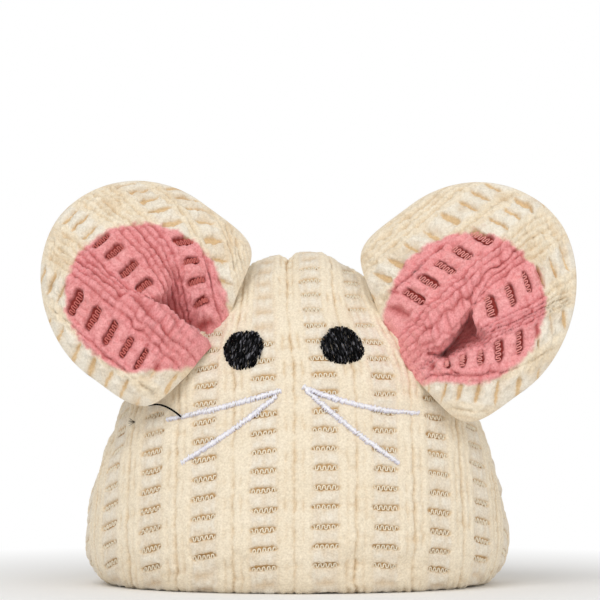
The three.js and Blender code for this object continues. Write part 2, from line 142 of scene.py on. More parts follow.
# Each ear's extra painted shade in the pink's grooves: more on the left ear, less on the right.
EARS = (
    {
        "name": "ear_left", "side": -1, "turn": 1.7, "tilt": 23, "column": 4.1, "opens": 1,
        "fold": (-3.6, 0.0), "pocket": (-3.0, 14.5, 0.75), "cavity": 0.0, "start": 0.22, "extra_groove_shade": 0.08,
        "outer": (-1, 1), "trim": 0.045, "turned": (0.0, 10.0), "tufts": 0.65, "filled": 0.25, "seed": 0,
        "lace": "red_ground_thread",
    },
    {
        "name": "ear_right", "side": 1, "turn": 6.3, "tilt": 20, "column": 10.2, "opens": -1,
        "fold": (-5.4, 0.34), "pocket": (3.0, 17.5, 0.8), "cavity": 5.5, "start": 0.53, "extra_groove_shade": -0.1,
        "outer": (-2, 0), "trim": 0.0, "turned": (0.4, 9.7), "tufts": 0.8, "filled": 0.2, "seed": 5,
        "lace": "pink_ground_thread",
    },
)
PLEAT_TAKE_UP = 16.0  # cloth that the pleat swallows at the root
PLEAT_REACH = 12.0
POCKET_DEPTH = 7.0
LIP = 2.4  # how far the pocket's edges hang over it
RIDGE = 2.6
RIDGE_WIDTH = 3.2

# Embroidery, as places across the face and above the floor
EYES = {  # way: the way the stitches run, in degrees; radii: at every 30 degrees from the right, over the top
    "eye_left": {
        "middle": (-11.9, 53.8), "way": 72, "seed": 60,
        "radii": (4.0, 4.8, 5.0, 4.3, 4.5, 4.3, 4.5, 4.5, 4.6, 4.3, 4.15, 4.0),
    },
    "eye_right": {
        "middle": (9.9, 55.0), "way": 108, "seed": 61,
        "radii": (4.7, 4.2, 4.1, 4.3, 4.5, 4.4, 4.65, 4.5, 4.3, 4.2, 4.5, 5.5),
    },
}
EYE_DOME = 0.8
EYE_STEP = 0.15
EYE_STITCH = {"arch": 0.16, "radius": 0.15, "glint": 7, "slot": "eye_thread"}
WHISKERS = {
    "whisker_left_upper": ((-3.6, 44.8), (-16.5, 41.1), (-29.0, 38.3)),
    "whisker_left_lower": ((-4.6, 43.6), (-14.4, 36.0), (-25.6, 28.8)),
    "whisker_right_upper": ((1.3, 45.6), (14.5, 41.4), (27.2, 39.8)),
    "whisker_right_lower": ((2.0, 44.8), (12.0, 36.4), (22.5, 28.8)),
}
WHISKER_WIDTH = 1.35
WHISKER_STEP = 0.2
WHISKER_LIFT = 0.15
WHISKER_STITCH = {"arch": 0.3, "radius": 0.13, "glint": 0.4, "slot": "whisker_thread"}
LOOSE_STOPS = ((-32.8, 40.95), (-29.0, 40.85), (-25.1, 38.4))
LOOSE_RADIUS = 0.22
FRAYED_PLACE = (-35.9, 37.4)
FRAYED_RADIUS = 0.05
FRAYED_LENGTH = 1.6
FRAYED_WAYS = (150, 170, 180, 195, 215)  # in which the fibres point, in degrees

# Tail, the same line as the solids'
TAIL_LENGTH = 84.0
TAIL_ROOT = 12.0
TAIL_TIP = 9.0
TAIL_HEIGHT = 14.0
TAIL_BEND = math.radians(75)
TAIL_LANDS = 0.55
TAIL_START = BODY_DEPTH / 2 + 0.3
TAIL_COURSES = 18  # that have gaps
TAIL_SINK = 0.4  # of its sewn edge in the pile of the back
TAIL_BENDS = (0.005, 0.004)  # metres before and behind the joint over which the cloth begins to swing

# Seams and inside
SEAM_STITCH = 3.4
SEAM_THREAD = 0.28
SIDE_SEAM_HALF = 1.1  # half the width that a stitch spans
BASE_SEAM_HALF = 1.2
EAR_RIM_POINTS = 4000
EAR_STITCHES = (-220, 2220, 40)  # the first and the last of the rim's points that are sewn, and the step
LEAF_BITS = 700
LEAF_LENGTHS = (0.8, 2.2)
LEAF_RADIUS = 0.4
LEAF_INSET = 1.3
INSIDE = {  # the solid, the body it rides on, the cell, the depth of its tufts, and its material
    "front_fibre": ("front_filling", "body", 1.3, 1.0, "fibre_fill"),
    "back_fibre": ("back_filling", "body", 1.3, 1.0, "fibre_fill"),
    "tail_fibre": ("tail_filling", "tail", 0.8, 0.6, "fibre_fill"),
    "bag_front_muslin": ("catnip_bag_front", "body", 0.35, 0.25, "muslin"),
    "bag_back_muslin": ("catnip_bag_back", "body", 0.35, 0.25, "muslin"),
    "catnip_crumbs": ("catnip_herb", "body", 0.7, 1.2, "dried_herb"),
}

# Mesh density
BODY_GRIDS = {"front": (290, 340), "back": (210, 250)}
EAR_GRIDS = {"front": (110, 420), "back": (70, 280)}
BASE_GRID = (60, 160)
TAIL_GRID = (200, 90)
EAR_PAD_GRID = (40, 90)

# Colours, written as 0 to 255 in the picture's own values, and shades that multiply them
# The groove and gap colours are painted shade, for the pile's grooves and the ladders' holes.
CREAM = {"rib": (251, 239, 216), "rung": (250, 243, 228), "groove_shade": (218, 186, 140), "gap": (224, 188, 136)}
PINK = {"rib": (251, 169, 170), "rung": (253, 176, 176), "groove_shade": (194, 98, 96), "gap": (160, 64, 58)}
CREAM_FIBRE = ((0.86, 0.84, 0.81), (1.05, 1.05, 1.05))
PINK_FIBRE = ((0.84, 0.72, 0.72), (1.06, 1.16, 1.16))
PATCHES = ((0.98, 0.96, 0.94), (1.01, 1.01, 1.02))
STRANDS = ((0.88, 0.88, 0.88), (1.06, 1.06, 1.06))
SHADE_STOPS = (0.3, 0.7)  # where noise has its dark and its bright shade
# In the satin threads the bright colour is a painted highlight, and the white thread's lilac dark colour is
# painted shade.
THREADS = {  # dark and bright colour, roughness and shine
    "ground_thread": ((250, 240, 218), (254, 248, 232), 0.6, 0.3),
    "red_ground_thread": ((214, 120, 112), (244, 176, 168), 0.6, 0.3),
    "pink_ground_thread": ((240, 164, 158), (252, 204, 198), 0.6, 0.3),
    "black_satin_thread": ((2, 2, 3), (125, 125, 132), 0.5, 0.04),
    "white_satin_thread": ((234, 231, 248), (255, 255, 255), 0.35, 0.7),
    "sewing_thread": ((214, 192, 156), (232, 214, 184), 0.6, 0.3),
}
FIBRES = {  # dark and bright colour, and how fine the mottling is
    "fibre_fill": ((226, 224, 218), (250, 249, 246), 500),
    "muslin": ((196, 184, 158), (226, 216, 194), 1500),
    "dried_herb": ((74, 80, 44), (138, 140, 88), 420),
}

# Studio
CAMERA_PLACE = (0, -618.5, 43.25)
CAMERA_TARGET = (0.7, 0, 66.2)
CAMERA_LENS = 158.3
LAMPS = {"key": ((-300, -600, 700), 2.9), "fill": ((500, -600, 300), 1.2)}  # place and power
LAMP_TARGET = (0, 0, 40)
LAMP_SIZE = 0.6
WORLD_COLOUR = (1, 0.99, 0.97, 1)
WORLD_STRENGTH = 0.58
FLOOR_COLOUR = (0.93, 0.93, 0.93, 1)
FLOOR_HALF = 3000.0
FLOOR_FADE = (0.06, 0.16)  # metres from the middle, from paper to white


# General helpers


def smooth(value, low, high):
    """A smooth step from 0 at low to 1 at high."""
    share = np.clip((value - low) / (high - low), 0, 1)
    return share * share * (3 - 2 * share)


def bump(offset, width):
    return np.exp(-((offset / width) ** 2))


def unit(vectors):
    return vectors / np.maximum(np.linalg.norm(vectors, axis=-1, keepdims=True), 1e-12)


def turns(count):
    """Angles at equal steps all the way round."""
    return np.arange(count) * 2 * np.pi / count


def run_along(line):
    """Lengths along a flat line, up to each of its points."""
    return np.concatenate([[0], np.cumsum(np.hypot(*np.diff(line, axis=0).T))])


def at_lengths(line, run, wanted):
    return np.stack([np.interp(wanted, run, line[:, k]) for k in (0, 1)], -1)


def noise(u, v, size, seed):
    """Smooth noise from -1 to 1 in patches about size across."""
    cells = 256
    table = np.random.default_rng(seed).uniform(-1, 1, (cells, cells))
    i = np.floor(u / size).astype(int)
    j = np.floor(v / size).astype(int)
    s = smooth(u / size - i, 0, 1)
    t = smooth(v / size - j, 0, 1)
    low = table[i % cells, j % cells] * (1 - s) + table[(i + 1) % cells, j % cells] * s
    high = table[i % cells, (j + 1) % cells] * (1 - s) + table[(i + 1) % cells, (j + 1) % cells] * s
    return low * (1 - t) + high * t


def grid_faces(rows, columns, poles=(0, -1), closed=True):
    """Quads of a grid of points, whose rows may be rings. Each pole is a row that is one point."""
    index = np.arange(rows * columns).reshape(rows, columns)
    for pole in poles:
        index[pole] = index[pole, 0]
    if closed:
        index = np.concatenate([index, index[:, :1]], axis=1)
    corners = [index[:-1, :-1], index[:-1, 1:], index[1:, 1:], index[1:, :-1]]
    return np.stack(corners, -1).reshape(-1, 4)


def add_object(name, data):
    thing = bpy.data.objects.new(name, data)
    bpy.context.scene.collection.objects.link(thing)
    return thing


def make_mesh(name, points, faces, material=None, attributes=None, normals=None):
    """A smooth mesh. A quad that repeats a corner becomes a triangle, and unused points are dropped."""
    kept = faces != np.roll(faces, 1, axis=1)
    used, loops = np.unique(faces[kept], return_inverse=True)
    starts = np.concatenate([[0], np.cumsum(kept.sum(1))[:-1]])
    mesh = bpy.data.meshes.new(name)
    mesh.vertices.add(len(used))
    mesh.vertices.foreach_set("co", (points.reshape(-1, 3)[used] * MM).astype(np.float32).ravel())
    mesh.loops.add(len(loops))
    mesh.loops.foreach_set("vertex_index", loops.astype(np.int32).ravel())
    mesh.polygons.add(len(faces))
    mesh.polygons.foreach_set("loop_start", starts.astype(np.int32))
    mesh.polygons.foreach_set("use_smooth", np.ones(len(faces), bool))
    mesh.update(calc_edges=True)
    for key, values in (attributes or {}).items():
        layer = mesh.attributes.new(key, "FLOAT", "POINT")
        layer.data.foreach_set("value", values.ravel()[used].astype(np.float32))
    if normals is not None:
        mesh.normals_split_custom_set_from_vertices(normals[used].tolist())
    if material:
        mesh.materials.append(material)
    return add_object(name, mesh)


def read_vectors(items, key):
    """Places or normals of a mesh, one row each."""
    values = np.empty(len(items) * 3, np.float32)
    items.foreach_get(key, values)
    return values.reshape(-1, 3)


def point_normals(points, faces):
    """Normals of a mesh's points, from the faces around each."""
    corner = points[faces]
    face = np.cross(corner[:, 2] - corner[:, 0], corner[:, 3] - corner[:, 1])
    total = np.zeros_like(points)
    for k in range(4):
        np.add.at(total, faces[:, k], face)
    return unit(total)


def tubes(paths, ups, radius, sides=6, flat=1.0):
    """Points and faces of pointed threads along (thread, stop, 3). flat is thickness as a share of width."""
    threads, stops, _ = paths.shape
    ahead = unit(np.gradient(paths, axis=1))
    beside = unit(np.cross(ahead, ups))
    above = flat * np.cross(beside, ahead)
    turn = turns(sides)[:, None]
    taper = np.ones(stops)
    taper[[0, -1]] = 0
    size = (radius * taper)[None, :, None, None]
    ring = np.cos(turn) * beside[:, :, None, :] + np.sin(turn) * above[:, :, None, :]
    points = (paths[:, :, None, :] + size * ring).reshape(-1, 3)
    first = np.arange(threads) * stops * sides
    faces = (grid_faces(stops, sides)[None] + first[:, None, None]).reshape(-1, 4)
    return points, faces


def dress(piece, node=None, rides="body", bends=None):
    """Hides the solid that a piece stands for and rides the piece on its body. One that bends is baked in
    place instead.
    """
    if node:
        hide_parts(node)
    if bends:
        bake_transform(piece)
    else:
        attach(piece, rides)


# Knit


def tuft_domes(column, along, length, seed):
    """Height, up to about 1, of tufts in a row along each column, which differ in place and fullness."""
    cells = 64
    table = np.random.default_rng(seed).uniform(-1, 1, (cells, cells, 2))
    row = table[column.astype(int) % cells]
    step = along / length + 3 * row[..., 0, 0]
    top = np.zeros(along.shape)
    for neighbour in (-1, 0, 1):
        cell = np.floor(step).astype(int) + neighbour
        tuft = np.take_along_axis(row, (cell % cells)[..., None, None], -2)[..., 0, :]
        away = step - cell - 0.5 - 0.3 * tuft[..., 0]
        top = np.maximum(top, (1 + 0.35 * tuft[..., 1]) * (1 - (away / 0.64) ** 2))
    return top


def knit(across, along, cloth, opening=1.0, seed=1):
    """Height of the ladder knit, and how much of it is groove, gap and rung, each from 0 to 1; groove and gap
    carry painted shade.

    Ladders lie half a repeat from across = 0. opening widens the gaps where the cloth is stretched.
    """
    half_ladder = cloth["ladder"] / 2
    wander = cloth["wander"] * noise(across, along, 2.2, seed)
    across = across + wander + 0.1 * noise(across, along, 0.8, seed + 1)
    along = along + 0.22 * noise(across, along, 3.1, seed + 2) + 0.08 * noise(across, along, 0.7, seed + 3)
    repeat = np.floor(across / REPEAT)
    beside = across % REPEAT - REPEAT / 2
    offset = np.abs(beside)
    course = along / COURSE
    from_gap = np.abs(course % 1 - 0.5) * COURSE

    rib = np.maximum(0, (offset - half_ladder) / ((REPEAT - cloth["ladder"]) / cloth["ribs"]))
    crest = np.abs(np.sin(np.pi * rib)) ** 0.7
    dash = cloth["filled"] * (1 + noise(across * 0.2, along, 2.2, seed + 4)) * smooth(rib, 0.3, 0.7)
    valley = np.interp(rib, np.arange(len(cloth["grooves"])), cloth["grooves"]) + dash
    domes = tuft_domes(repeat * 16 + 8 * (beside > 0) + np.floor(rib), along, cloth["tuft"], seed + 5)
    ribs = valley + (RIB_TOP - valley) * crest * (1 - cloth["tufts"] * (1 - domes))

    loose = opening * (1 + 0.25 * noise(repeat * 7.3, np.floor(course) * 5.1, 1.0, seed + 8))
    half_gap = np.maximum(GAP_HALF * loose, 0.05)
    fray = 0.5 * noise(across, along, 0.55, seed + 9) + 0.45 * noise(across, along, 1.3, seed + 10)
    inside = 1 - (offset / half_ladder) ** 4 - (from_gap / half_gap) ** 3 + fray
    gap = smooth(inside, -0.5, 0.5) * smooth(loose, 0.05, 0.5)
    to_edge = np.minimum(offset / half_ladder, 1)
    pillow = 1 - (1 - np.sin(np.pi * from_gap / COURSE)) * (1 - to_edge**4)
    strand = np.abs(np.sin(1.5 * np.pi * beside / half_ladder + 1.2 * noise(across, along, 3.0, seed + 11)))
    rungs = cloth["rung"] * (cloth["between"] + (1 - cloth["between"]) * pillow)
    fluff = 1 - strand + noise(across, along, 1.1, seed + 12)
    rungs = rungs * (1 - 0.3 * cloth["tufts"] * fluff)
    ladders = rungs * (1 - gap) + GAP_FLOOR * gap
    in_ladder = smooth(offset, half_ladder + 0.55, half_ladder - 0.55)

    height = ribs * (1 - in_ladder) + ladders * in_ladder
    # Painted shade: the lower the pile lies, the more of the tan groove colour it takes.
    groove_shade = np.clip((0.9 - height) / 0.9, 0, 1) * (1 - gap * in_ladder)
    nap = noise(across, along * 0.7, 1.0, seed + 6) + 0.7 * noise(across, along, 0.5, seed + 7)
    height = height + cloth["nap"] * nap * (1 - gap * in_ladder) - MEAN_RELIEF
    # Painted shade: the gap share gives the ladders' holes their dark colour.
    return height, {"groove_shade": groove_shade, "gap": gap * in_ladder, "rung": in_ladder * (1 - gap)}


def gap_row(cloth, column, course):
    """Five places on the cloth, from one end of a gap to the other."""
    reach = cloth["ladder"] / 2 * np.linspace(-1, 1, 5)
    return REPEAT * (column + 0.5) + reach, np.full(5, COURSE * (course + 0.5))


def open_gaps(opening, across, along, gaps, width):
    for column, course in gaps:
        opening[(np.floor(across / REPEAT) == column) & (np.floor(along / COURSE) == course)] = width


def lace(name, place, gaps, cloth, seed, material, bends=None):
    """Looped threads of the ground cloth in gaps. place(across, along) gives points and the way out there."""
    rng = np.random.default_rng(seed)
    row, opening, radius = cloth["lace"]
    stops = np.linspace(-1, 1, 8 * LACE_LOOPS + 1)
    paths, ups = [], []
    for column, course in gaps:
        turn = np.pi * LACE_LOOPS * stops + rng.uniform(0, 6)
        reach = (cloth["ladder"] / 2 - 0.1) * stops + 0.1 * np.sin(2 * turn)
        tall = 0.7 * np.cos(turn) + rng.normal(0, 0.1, len(stops))
        swing = GAP_HALF * opening * (row + tall)
        point, out = place(REPEAT * (column + 0.5) + reach, COURSE * (course + 0.5) + swing)
        paths.append(point + out * LACE_HEIGHT)
        ups.append(out)
    threads = tubes(np.array(paths), np.array(ups), radius, sides=4)
    dress(make_mesh(name, *threads, material), bends=bends)


# Body


def body_share(z):
    """Share of the body's full width at a height."""
    up = np.clip((z - BULGE_HEIGHT) / (BODY_HEIGHT - BULGE_HEIGHT), 0, 1)
    down = np.clip((BULGE_HEIGHT - z) / BULGE_HEIGHT, 0, 1)
    drawn_in = 1 - (1 - down**BASE_ROUND) ** (1 / BASE_ROUND)
    return (1 - up**CROWN_RISE) ** (1 / CROWN_ROUND) - BASE_INSET / (BODY_WIDTH / 2) * drawn_in


def meridian():
    """Heights up the middle of the face, and the length of cloth from the hem to each."""
    turn = np.linspace(-np.pi / 2, np.pi / 2, 3001)
    tall = np.where(turn < 0, BULGE_HEIGHT, BODY_HEIGHT - BULGE_HEIGHT)
    z = BULGE_HEIGHT + tall * np.sin(turn)
    return z, run_along(np.stack([BODY_DEPTH / 2 * body_share(z), z], -1))


def girth():
    """Angles round from the middle of the face, and the length of cloth to each at the widest section."""
    angle = np.linspace(0, np.pi / 2, 1001)
    return angle, run_along(np.stack([BODY_WIDTH / 2 * np.sin(angle), BODY_DEPTH / 2 * np.cos(angle)], -1))


CLIMB_Z, CLIMB = meridian()
ROUND_ANGLE, ROUND = girth()


def round_length(angle):
    return np.sign(angle) * np.interp(np.abs(angle), ROUND_ANGLE, ROUND)


def round_angle(length):
    return np.sign(length) * np.interp(np.abs(length), ROUND, ROUND_ANGLE)


def outline_point(angle, z):
    """A point on the body's plain outline, at an angle round from the middle of the face."""
    share = body_share(z)
    return np.stack([BODY_WIDTH / 2 * share * np.sin(angle), -BODY_DEPTH / 2 * share * np.cos(angle), z], -1)


def settled(piece, held):
    """Points of a cloth that pressure has pushed out, while those in the held group stay."""
    cloth = piece.modifiers.new("cloth", "CLOTH")
    settings = cloth.settings
    settings.quality = 6
    settings.use_pressure = True
    settings.uniform_pressure_force = SWELL_PRESSURE
    settings.shrink_min = -SWELL_SPARE
    settings.vertex_group_mass = held
    settings.effector_weights.gravity = 0
    cloth.collision_settings.use_collision = False
    for number in range(1, SWELL_FRAMES + 1):
        bpy.context.scene.frame_set(number)
    shape = piece.evaluated_get(bpy.context.evaluated_depsgraph_get()).data
    points = read_vectors(shape.vertices, "co")
    bpy.context.scene.frame_set(1)
    bpy.data.objects.remove(piece)
    return points / MM


def stuffed_swell():
    """How far filling presses the cloth out between hem and seams, less the mean: rows up, columns round."""
    rows, columns = SWELL_GRID
    swell = np.zeros(rows * columns)
    angle, climb = np.meshgrid(turns(columns), np.linspace(0, CLIMB[-1], rows))
    start = outline_point(angle, np.interp(climb, CLIMB, CLIMB_Z)).reshape(-1, 3)
    start = start + np.random.default_rng(40).uniform(-0.15, 0.15, start.shape)
    faces = grid_faces(rows, columns, poles=(-1,))
    trial = make_mesh("cloth_trial", start, faces)
    index = np.arange(rows * columns).reshape(rows, columns)
    seams = index[:-1, [columns // 4, 3 * columns // 4]].ravel()
    held = np.unique(np.concatenate([index[0], seams, index[-1, :1]]))
    trial.vertex_groups.new(name="held").add(held.tolist(), 1.0, "REPLACE")
    moved = settled(trial, "held")
    used = len(moved)
    swell[:used] = ((moved - start[:used]) * point_normals(start, faces)[:used]).sum(1)
    swell = swell.reshape(rows, columns)
    swell[-1] = swell[-1, 0]
    return np.clip(swell - swell.mean(), -SWELL_CAP, SWELL_CAP)


SWELL = stuffed_swell()


def cubic_weights(part):
    """Weights of four neighbours in a row for a place between the middle two."""
    return (
        part * (-0.5 + part * (1 - 0.5 * part)),
        1 + part**2 * (-2.5 + 1.5 * part),
        part * (0.5 + part * (2 - 1.5 * part)),
        part**2 * (-0.5 + 0.5 * part),
    )


def swell_at(angle, z):
    rows, columns = SWELL.shape
    row = np.interp(z, CLIMB_Z, CLIMB) / CLIMB[-1] * (rows - 1)
    column = angle / (2 * np.pi) * columns
    i = np.floor(row).astype(int)
    j = np.floor(column).astype(int)
    total = np.zeros(np.shape(row))
    for a, across in enumerate(cubic_weights(row - i)):
        for b, along in enumerate(cubic_weights(column - j)):
            total += across * along * SWELL[np.clip(i + a - 1, 0, rows - 1), (j + b - 1) % columns]
    return total


def body_point(angle, z):
    """A point on the stuffed body, with its swells and the creases at its crown."""
    point = outline_point(angle, z)
    x = point[..., 0]
    out = unit(np.stack([x / BODY_WIDTH, point[..., 1] / BODY_DEPTH, (z - 25) / 130], -1))
    at_crown = smooth(z, *CREASED)
    crease = sum(depth * bump(x - place, width) for depth, place, width in CROWN_CREASES)
    swell = swell_at(angle, z) * smooth(z, 0, 8) * (1 - at_crown) - crease * at_crown
    return point + out * swell[..., None]


def body_normal(angle, z):
    turn = 0.01
    rise = 0.15
    across = body_point(angle + turn, z) - body_point(angle - turn, z)
    lower = np.clip(z - rise, 0, BODY_HEIGHT)
    upper = np.clip(z + rise, 0, BODY_HEIGHT)
    normal = unit(np.cross(across, body_point(angle, upper) - body_point(angle, lower)))
    at_pole = body_share(z) < 1e-6
    normal[at_pole] = (0, 0, 1)
    return normal


def crown_draw(z):
    """The share to which ladders draw together at a height, and how far they lean sideways."""
    return 1 - CROWN_SQUEEZE * smooth(z, *SQUEEZED), PANEL_SHIFT + CROWN_LEAN * smooth(z, *LEANING)


def course_lift(length):
    return COURSE_START + COURSE_TILT * length + COURSE_BEND * length**2


def body_pattern(angle, z):
    """Where a point of a body panel lies on its cloth, across the ribs and along them."""
    length = body_share(z) * round_length(angle)
    squeeze, lean = crown_draw(z)
    return (length - lean) / squeeze, np.interp(z, CLIMB_Z, CLIMB) + course_lift(length)


def body_place(across, along):
    """The length round and the height of a place on a body panel's cloth."""
    length = across
    for _ in range(6):
        z = np.interp(along - course_lift(length), CLIMB, CLIMB_Z)
        squeeze, lean = crown_draw(z)
        length = across * squeeze + lean
    return length / np.maximum(body_share(z), 1e-6), z


def face_angle(x, z):
    """The angle round the body of a place on the face that is seen from the front at x."""
    return np.arcsin(np.clip(x / (BODY_WIDTH / 2 * body_share(z)), -1, 1))


def face_point(x, z):
    """Points on the face, and the way out there."""
    angle = face_angle(x, z)
    return body_point(angle, z), body_normal(angle, z)


def distance_to_line(x, z, stops):
    """Distance from points on the face to a line through stops."""
    near = np.full(np.shape(x), np.inf)
    for (x0, z0), (x1, z1) in zip(stops[:-1], stops[1:]):
        dx, dz = x1 - x0, z1 - z0
        part = np.clip(((x - x0) * dx + (z - z0) * dz) / (dx * dx + dz * dz), 0, 1)
        near = np.minimum(near, np.hypot(x - x0 - part * dx, z - z0 - part * dz))
    return near


def eye_share(key, x, z):
    """Share of the way from an eye's middle to its outline, for places from that middle."""
    radii = EYES[key]["radii"]
    return np.hypot(x, z) / np.interp(np.arctan2(z, x), turns(len(radii)), radii, period=2 * np.pi)


def under_stitches(x, z):
    """How far embroidery presses the pile flat, from 0 to 1."""
    pressed = np.zeros(np.shape(x))
    for key in EYES:
        eye_x, eye_z = EYES[key]["middle"]
        pressed = np.maximum(pressed, smooth(eye_share(key, x - eye_x, z - eye_z), 1.25, 0.95))
    for stops in WHISKERS.values():
        pressed = np.maximum(pressed, smooth(distance_to_line(x, z, stops), 1.9, 0.9))
    return pressed


def body_gaps(on_face):
    """The ladder and course of each gap clear of the seams. One of the face's ladders closes at its top."""
    gaps = []
    for column in range(-6, 6):
        for course in range(26):
            length, z = body_place(*gap_row(BODY_CLOTH, column, course))
            to_seam = body_share(z) * (ROUND[-1] - np.abs(length))
            closed = on_face and column == -1 and z.max() > 56
            if to_seam.min() > 1.5 and z.min() > 4 and z.max() < 73 and not closed:
                gaps.append((column, course))
    return gaps


def body_panel(which, material):
    """The front or back panel, from the hem to the crown and from seam to seam."""
    on_face = which == "front"
    rows, columns = BODY_GRIDS[which]
    length = np.linspace(-ROUND[-1], ROUND[-1], columns)
    angle, climb = np.meshgrid(round_angle(length), np.linspace(0, CLIMB[-1], rows))
    z = np.interp(climb, CLIMB, CLIMB_Z)
    across, along = body_pattern(angle, z)
    facing = angle if on_face else angle + np.pi
    opening = np.zeros(z.shape)
    open_gaps(opening, across, along, body_gaps(on_face), 1)
    opening = opening * (1 - 0.15 * smooth(z, 48, 64))
    relief, cloth = knit(across, along, BODY_CLOTH, opening, seed=10 if on_face else 30)
    to_seam = body_share(z) * (ROUND[-1] - np.abs(round_length(angle)))
    edge = np.minimum(to_seam, climb)
    base = body_point(facing, z)
    if on_face:
        pressed = under_stitches(base[..., 0], base[..., 2])
        relief = relief * (1 - 0.55 * pressed) - 0.2 * pressed
    valley = SEAM_VALLEY * (1 - 0.65 * smooth(z, 68, 76))
    relief = relief * smooth(edge, 0.2, 2.6) - valley * smooth(edge, 1.8, 0)
    points = base + body_normal(facing, z) * relief[..., None]
    points[..., 2] = np.maximum(points[..., 2], ON_FLOOR)
    faces = grid_faces(rows, columns, poles=(-1,), closed=False)
    piece = make_mesh(f"{which}_knit", points, faces, material, cloth)
    dress(piece, f"{which}_panel")


def base_panel(material):
    """The oval that the toy sits on: its ribs are pressed flat on the floor, and its gaps stay open."""
    rows, columns = BASE_GRID
    share, turn = np.meshgrid(np.linspace(0, 1, rows), turns(columns), indexing="ij")
    x = BASE_WIDTH / 2 * share * np.sin(turn)
    y = -BASE_WIDTH / 2 * DEPTH_SHARE * share * np.cos(turn)
    relief, cloth = knit(x, y, BODY_CLOTH, seed=50)
    z = ON_FLOOR + 0.3 * np.clip(0.5 - relief, 0, 3) + 1.6 * smooth(share, 0.94, 1)
    faces = grid_faces(rows, columns, poles=(0,))
    piece = make_mesh("base_knit", np.stack([x, y, z], -1), faces, material, cloth)
    dress(piece, "base_panel")


def body_lace(which, material):
    behind = 0 if which == "front" else np.pi

    def place(across, along):
        length, z = body_place(across, along)
        facing = round_angle(length) + behind
        return body_point(facing, z), body_normal(facing, z)

    lace(f"{which}_lace", place, body_gaps(which == "front"), BODY_CLOTH, 20, material)


# Embroidery


def stitched(node, starts, ends, lift, stitch, material):
    """Satin stitches that arch over the pile from starts to ends, places (x, z) on the face.

    The higher their glint, the fewer catch a painted highlight, brightest at each stitch's crown; their ends
    take painted shade.
    """
    sides = 6
    part = np.linspace(0, 1, 8)[None, :]
    x = starts[:, :1] + (ends[:, :1] - starts[:, :1]) * part
    z = starts[:, 1:] + (ends[:, 1:] - starts[:, 1:]) * part
    point, out = face_point(x, z)
    swing = np.sin(np.pi * part)
    height = lift(x, z) + stitch["arch"] * swing - 0.5 * (1 - swing) ** 3
    threads = tubes(point + out * height[..., None], out, stitch["radius"], sides, flat=0.5)
    # Painted light: a few stitches at random get a painted highlight, brightest at the crown, and the ends,
    # where stitches dip into the pile, get painted shade.
    bright = np.random.default_rng(len(starts)).uniform(0, 1, (len(starts), 1)) ** stitch["glint"]
    painted_light = np.repeat(bright * swing**2, sides, axis=1)
    piece = make_mesh(f"{node}_stitches", *threads, material, {"painted_light": painted_light})
    dress(piece, node)


def eye(key, material):
    """Rows of staggered stitches that fill a ragged outline."""
    middle = np.array(EYES[key]["middle"])
    way = math.radians(EYES[key]["way"])
    rng = np.random.default_rng(EYES[key]["seed"])
    run = np.array([math.cos(way), math.sin(way)])
    step = np.array([-run[1], run[0]])
    reach = max(EYES[key]["radii"])
    line = np.linspace(-reach, reach, 200)
    starts, ends = [], []
    for offset in np.arange(-reach, reach, EYE_STEP):
        places = line[:, None] * run + offset * step
        inside = line[eye_share(key, places[:, 0], places[:, 1]) < 1]
        if len(inside) < 12:
            continue
        first = inside[0] + rng.uniform(-0.3, 0.3)
        last = inside[-1] + rng.uniform(-0.3, 0.3)
        cut = first - rng.uniform(0, 1.2)
        while cut < last:
            begin = max(cut, first)
            end = min(cut + rng.uniform(1.5, 2.3), last)
            if end - begin > 0.6:
                sway = step * (offset + rng.uniform(-0.12, 0.12))
                starts.append(run * begin + sway)
                ends.append(run * end + sway + step * rng.uniform(-0.45, 0.45))
            cut += rng.uniform(1.1, 1.7)

    def lift(x, z):
        near = eye_share(key, x - middle[0], z - middle[1])
        return EYE_DOME * np.sqrt(np.clip(1.1 - near**2, 0, 1)) - 0.15

    stitched(key, np.array(starts) + middle, np.array(ends) + middle, lift, EYE_STITCH, material)


def along_stops(stops, spacing):
    """Places at equal steps on a smooth line through three stops, and the way it runs at each."""
    first, between, last = np.array(stops)
    t = np.linspace(0, 1, 400)[:, None]
    bend = 2 * between - (first + last) / 2
    line = (1 - t) ** 2 * first + 2 * t * (1 - t) * bend + t**2 * last
    run = run_along(line)
    places = at_lengths(line, run, np.arange(0, run[-1], spacing))
    return places, unit(np.gradient(places, axis=0))


def whisker(key, material):
    """Slanted stitches side by side along a line that tapers a little towards its tip."""
    rng = np.random.default_rng(70 + list(WHISKERS).index(key))
    places, run = along_stops(WHISKERS[key], WHISKER_STEP)
    step = np.stack([-run[:, 1], run[:, 0]], -1)
    count = len(places)
    part = np.linspace(0, 1, count)
    taper = (0.75 + 0.25 * smooth(part, 0, 0.15)) * (1 - 0.3 * part**3)
    wander = 0.1 * noise(part * count * WHISKER_STEP, part, 3.5, 72)
    half = WHISKER_WIDTH / 2 * (taper + wander)
    slant = (rng.normal(0.25, 0.2, count) * half)[:, None] * run
    starts = places - step * (half + rng.normal(0, 0.13, count))[:, None] - slant
    ends = places + step * (half + rng.normal(0, 0.13, count))[:, None] + slant
    stitched(key, starts, ends, lambda x, z: WHISKER_LIFT, WHISKER_STITCH, material)


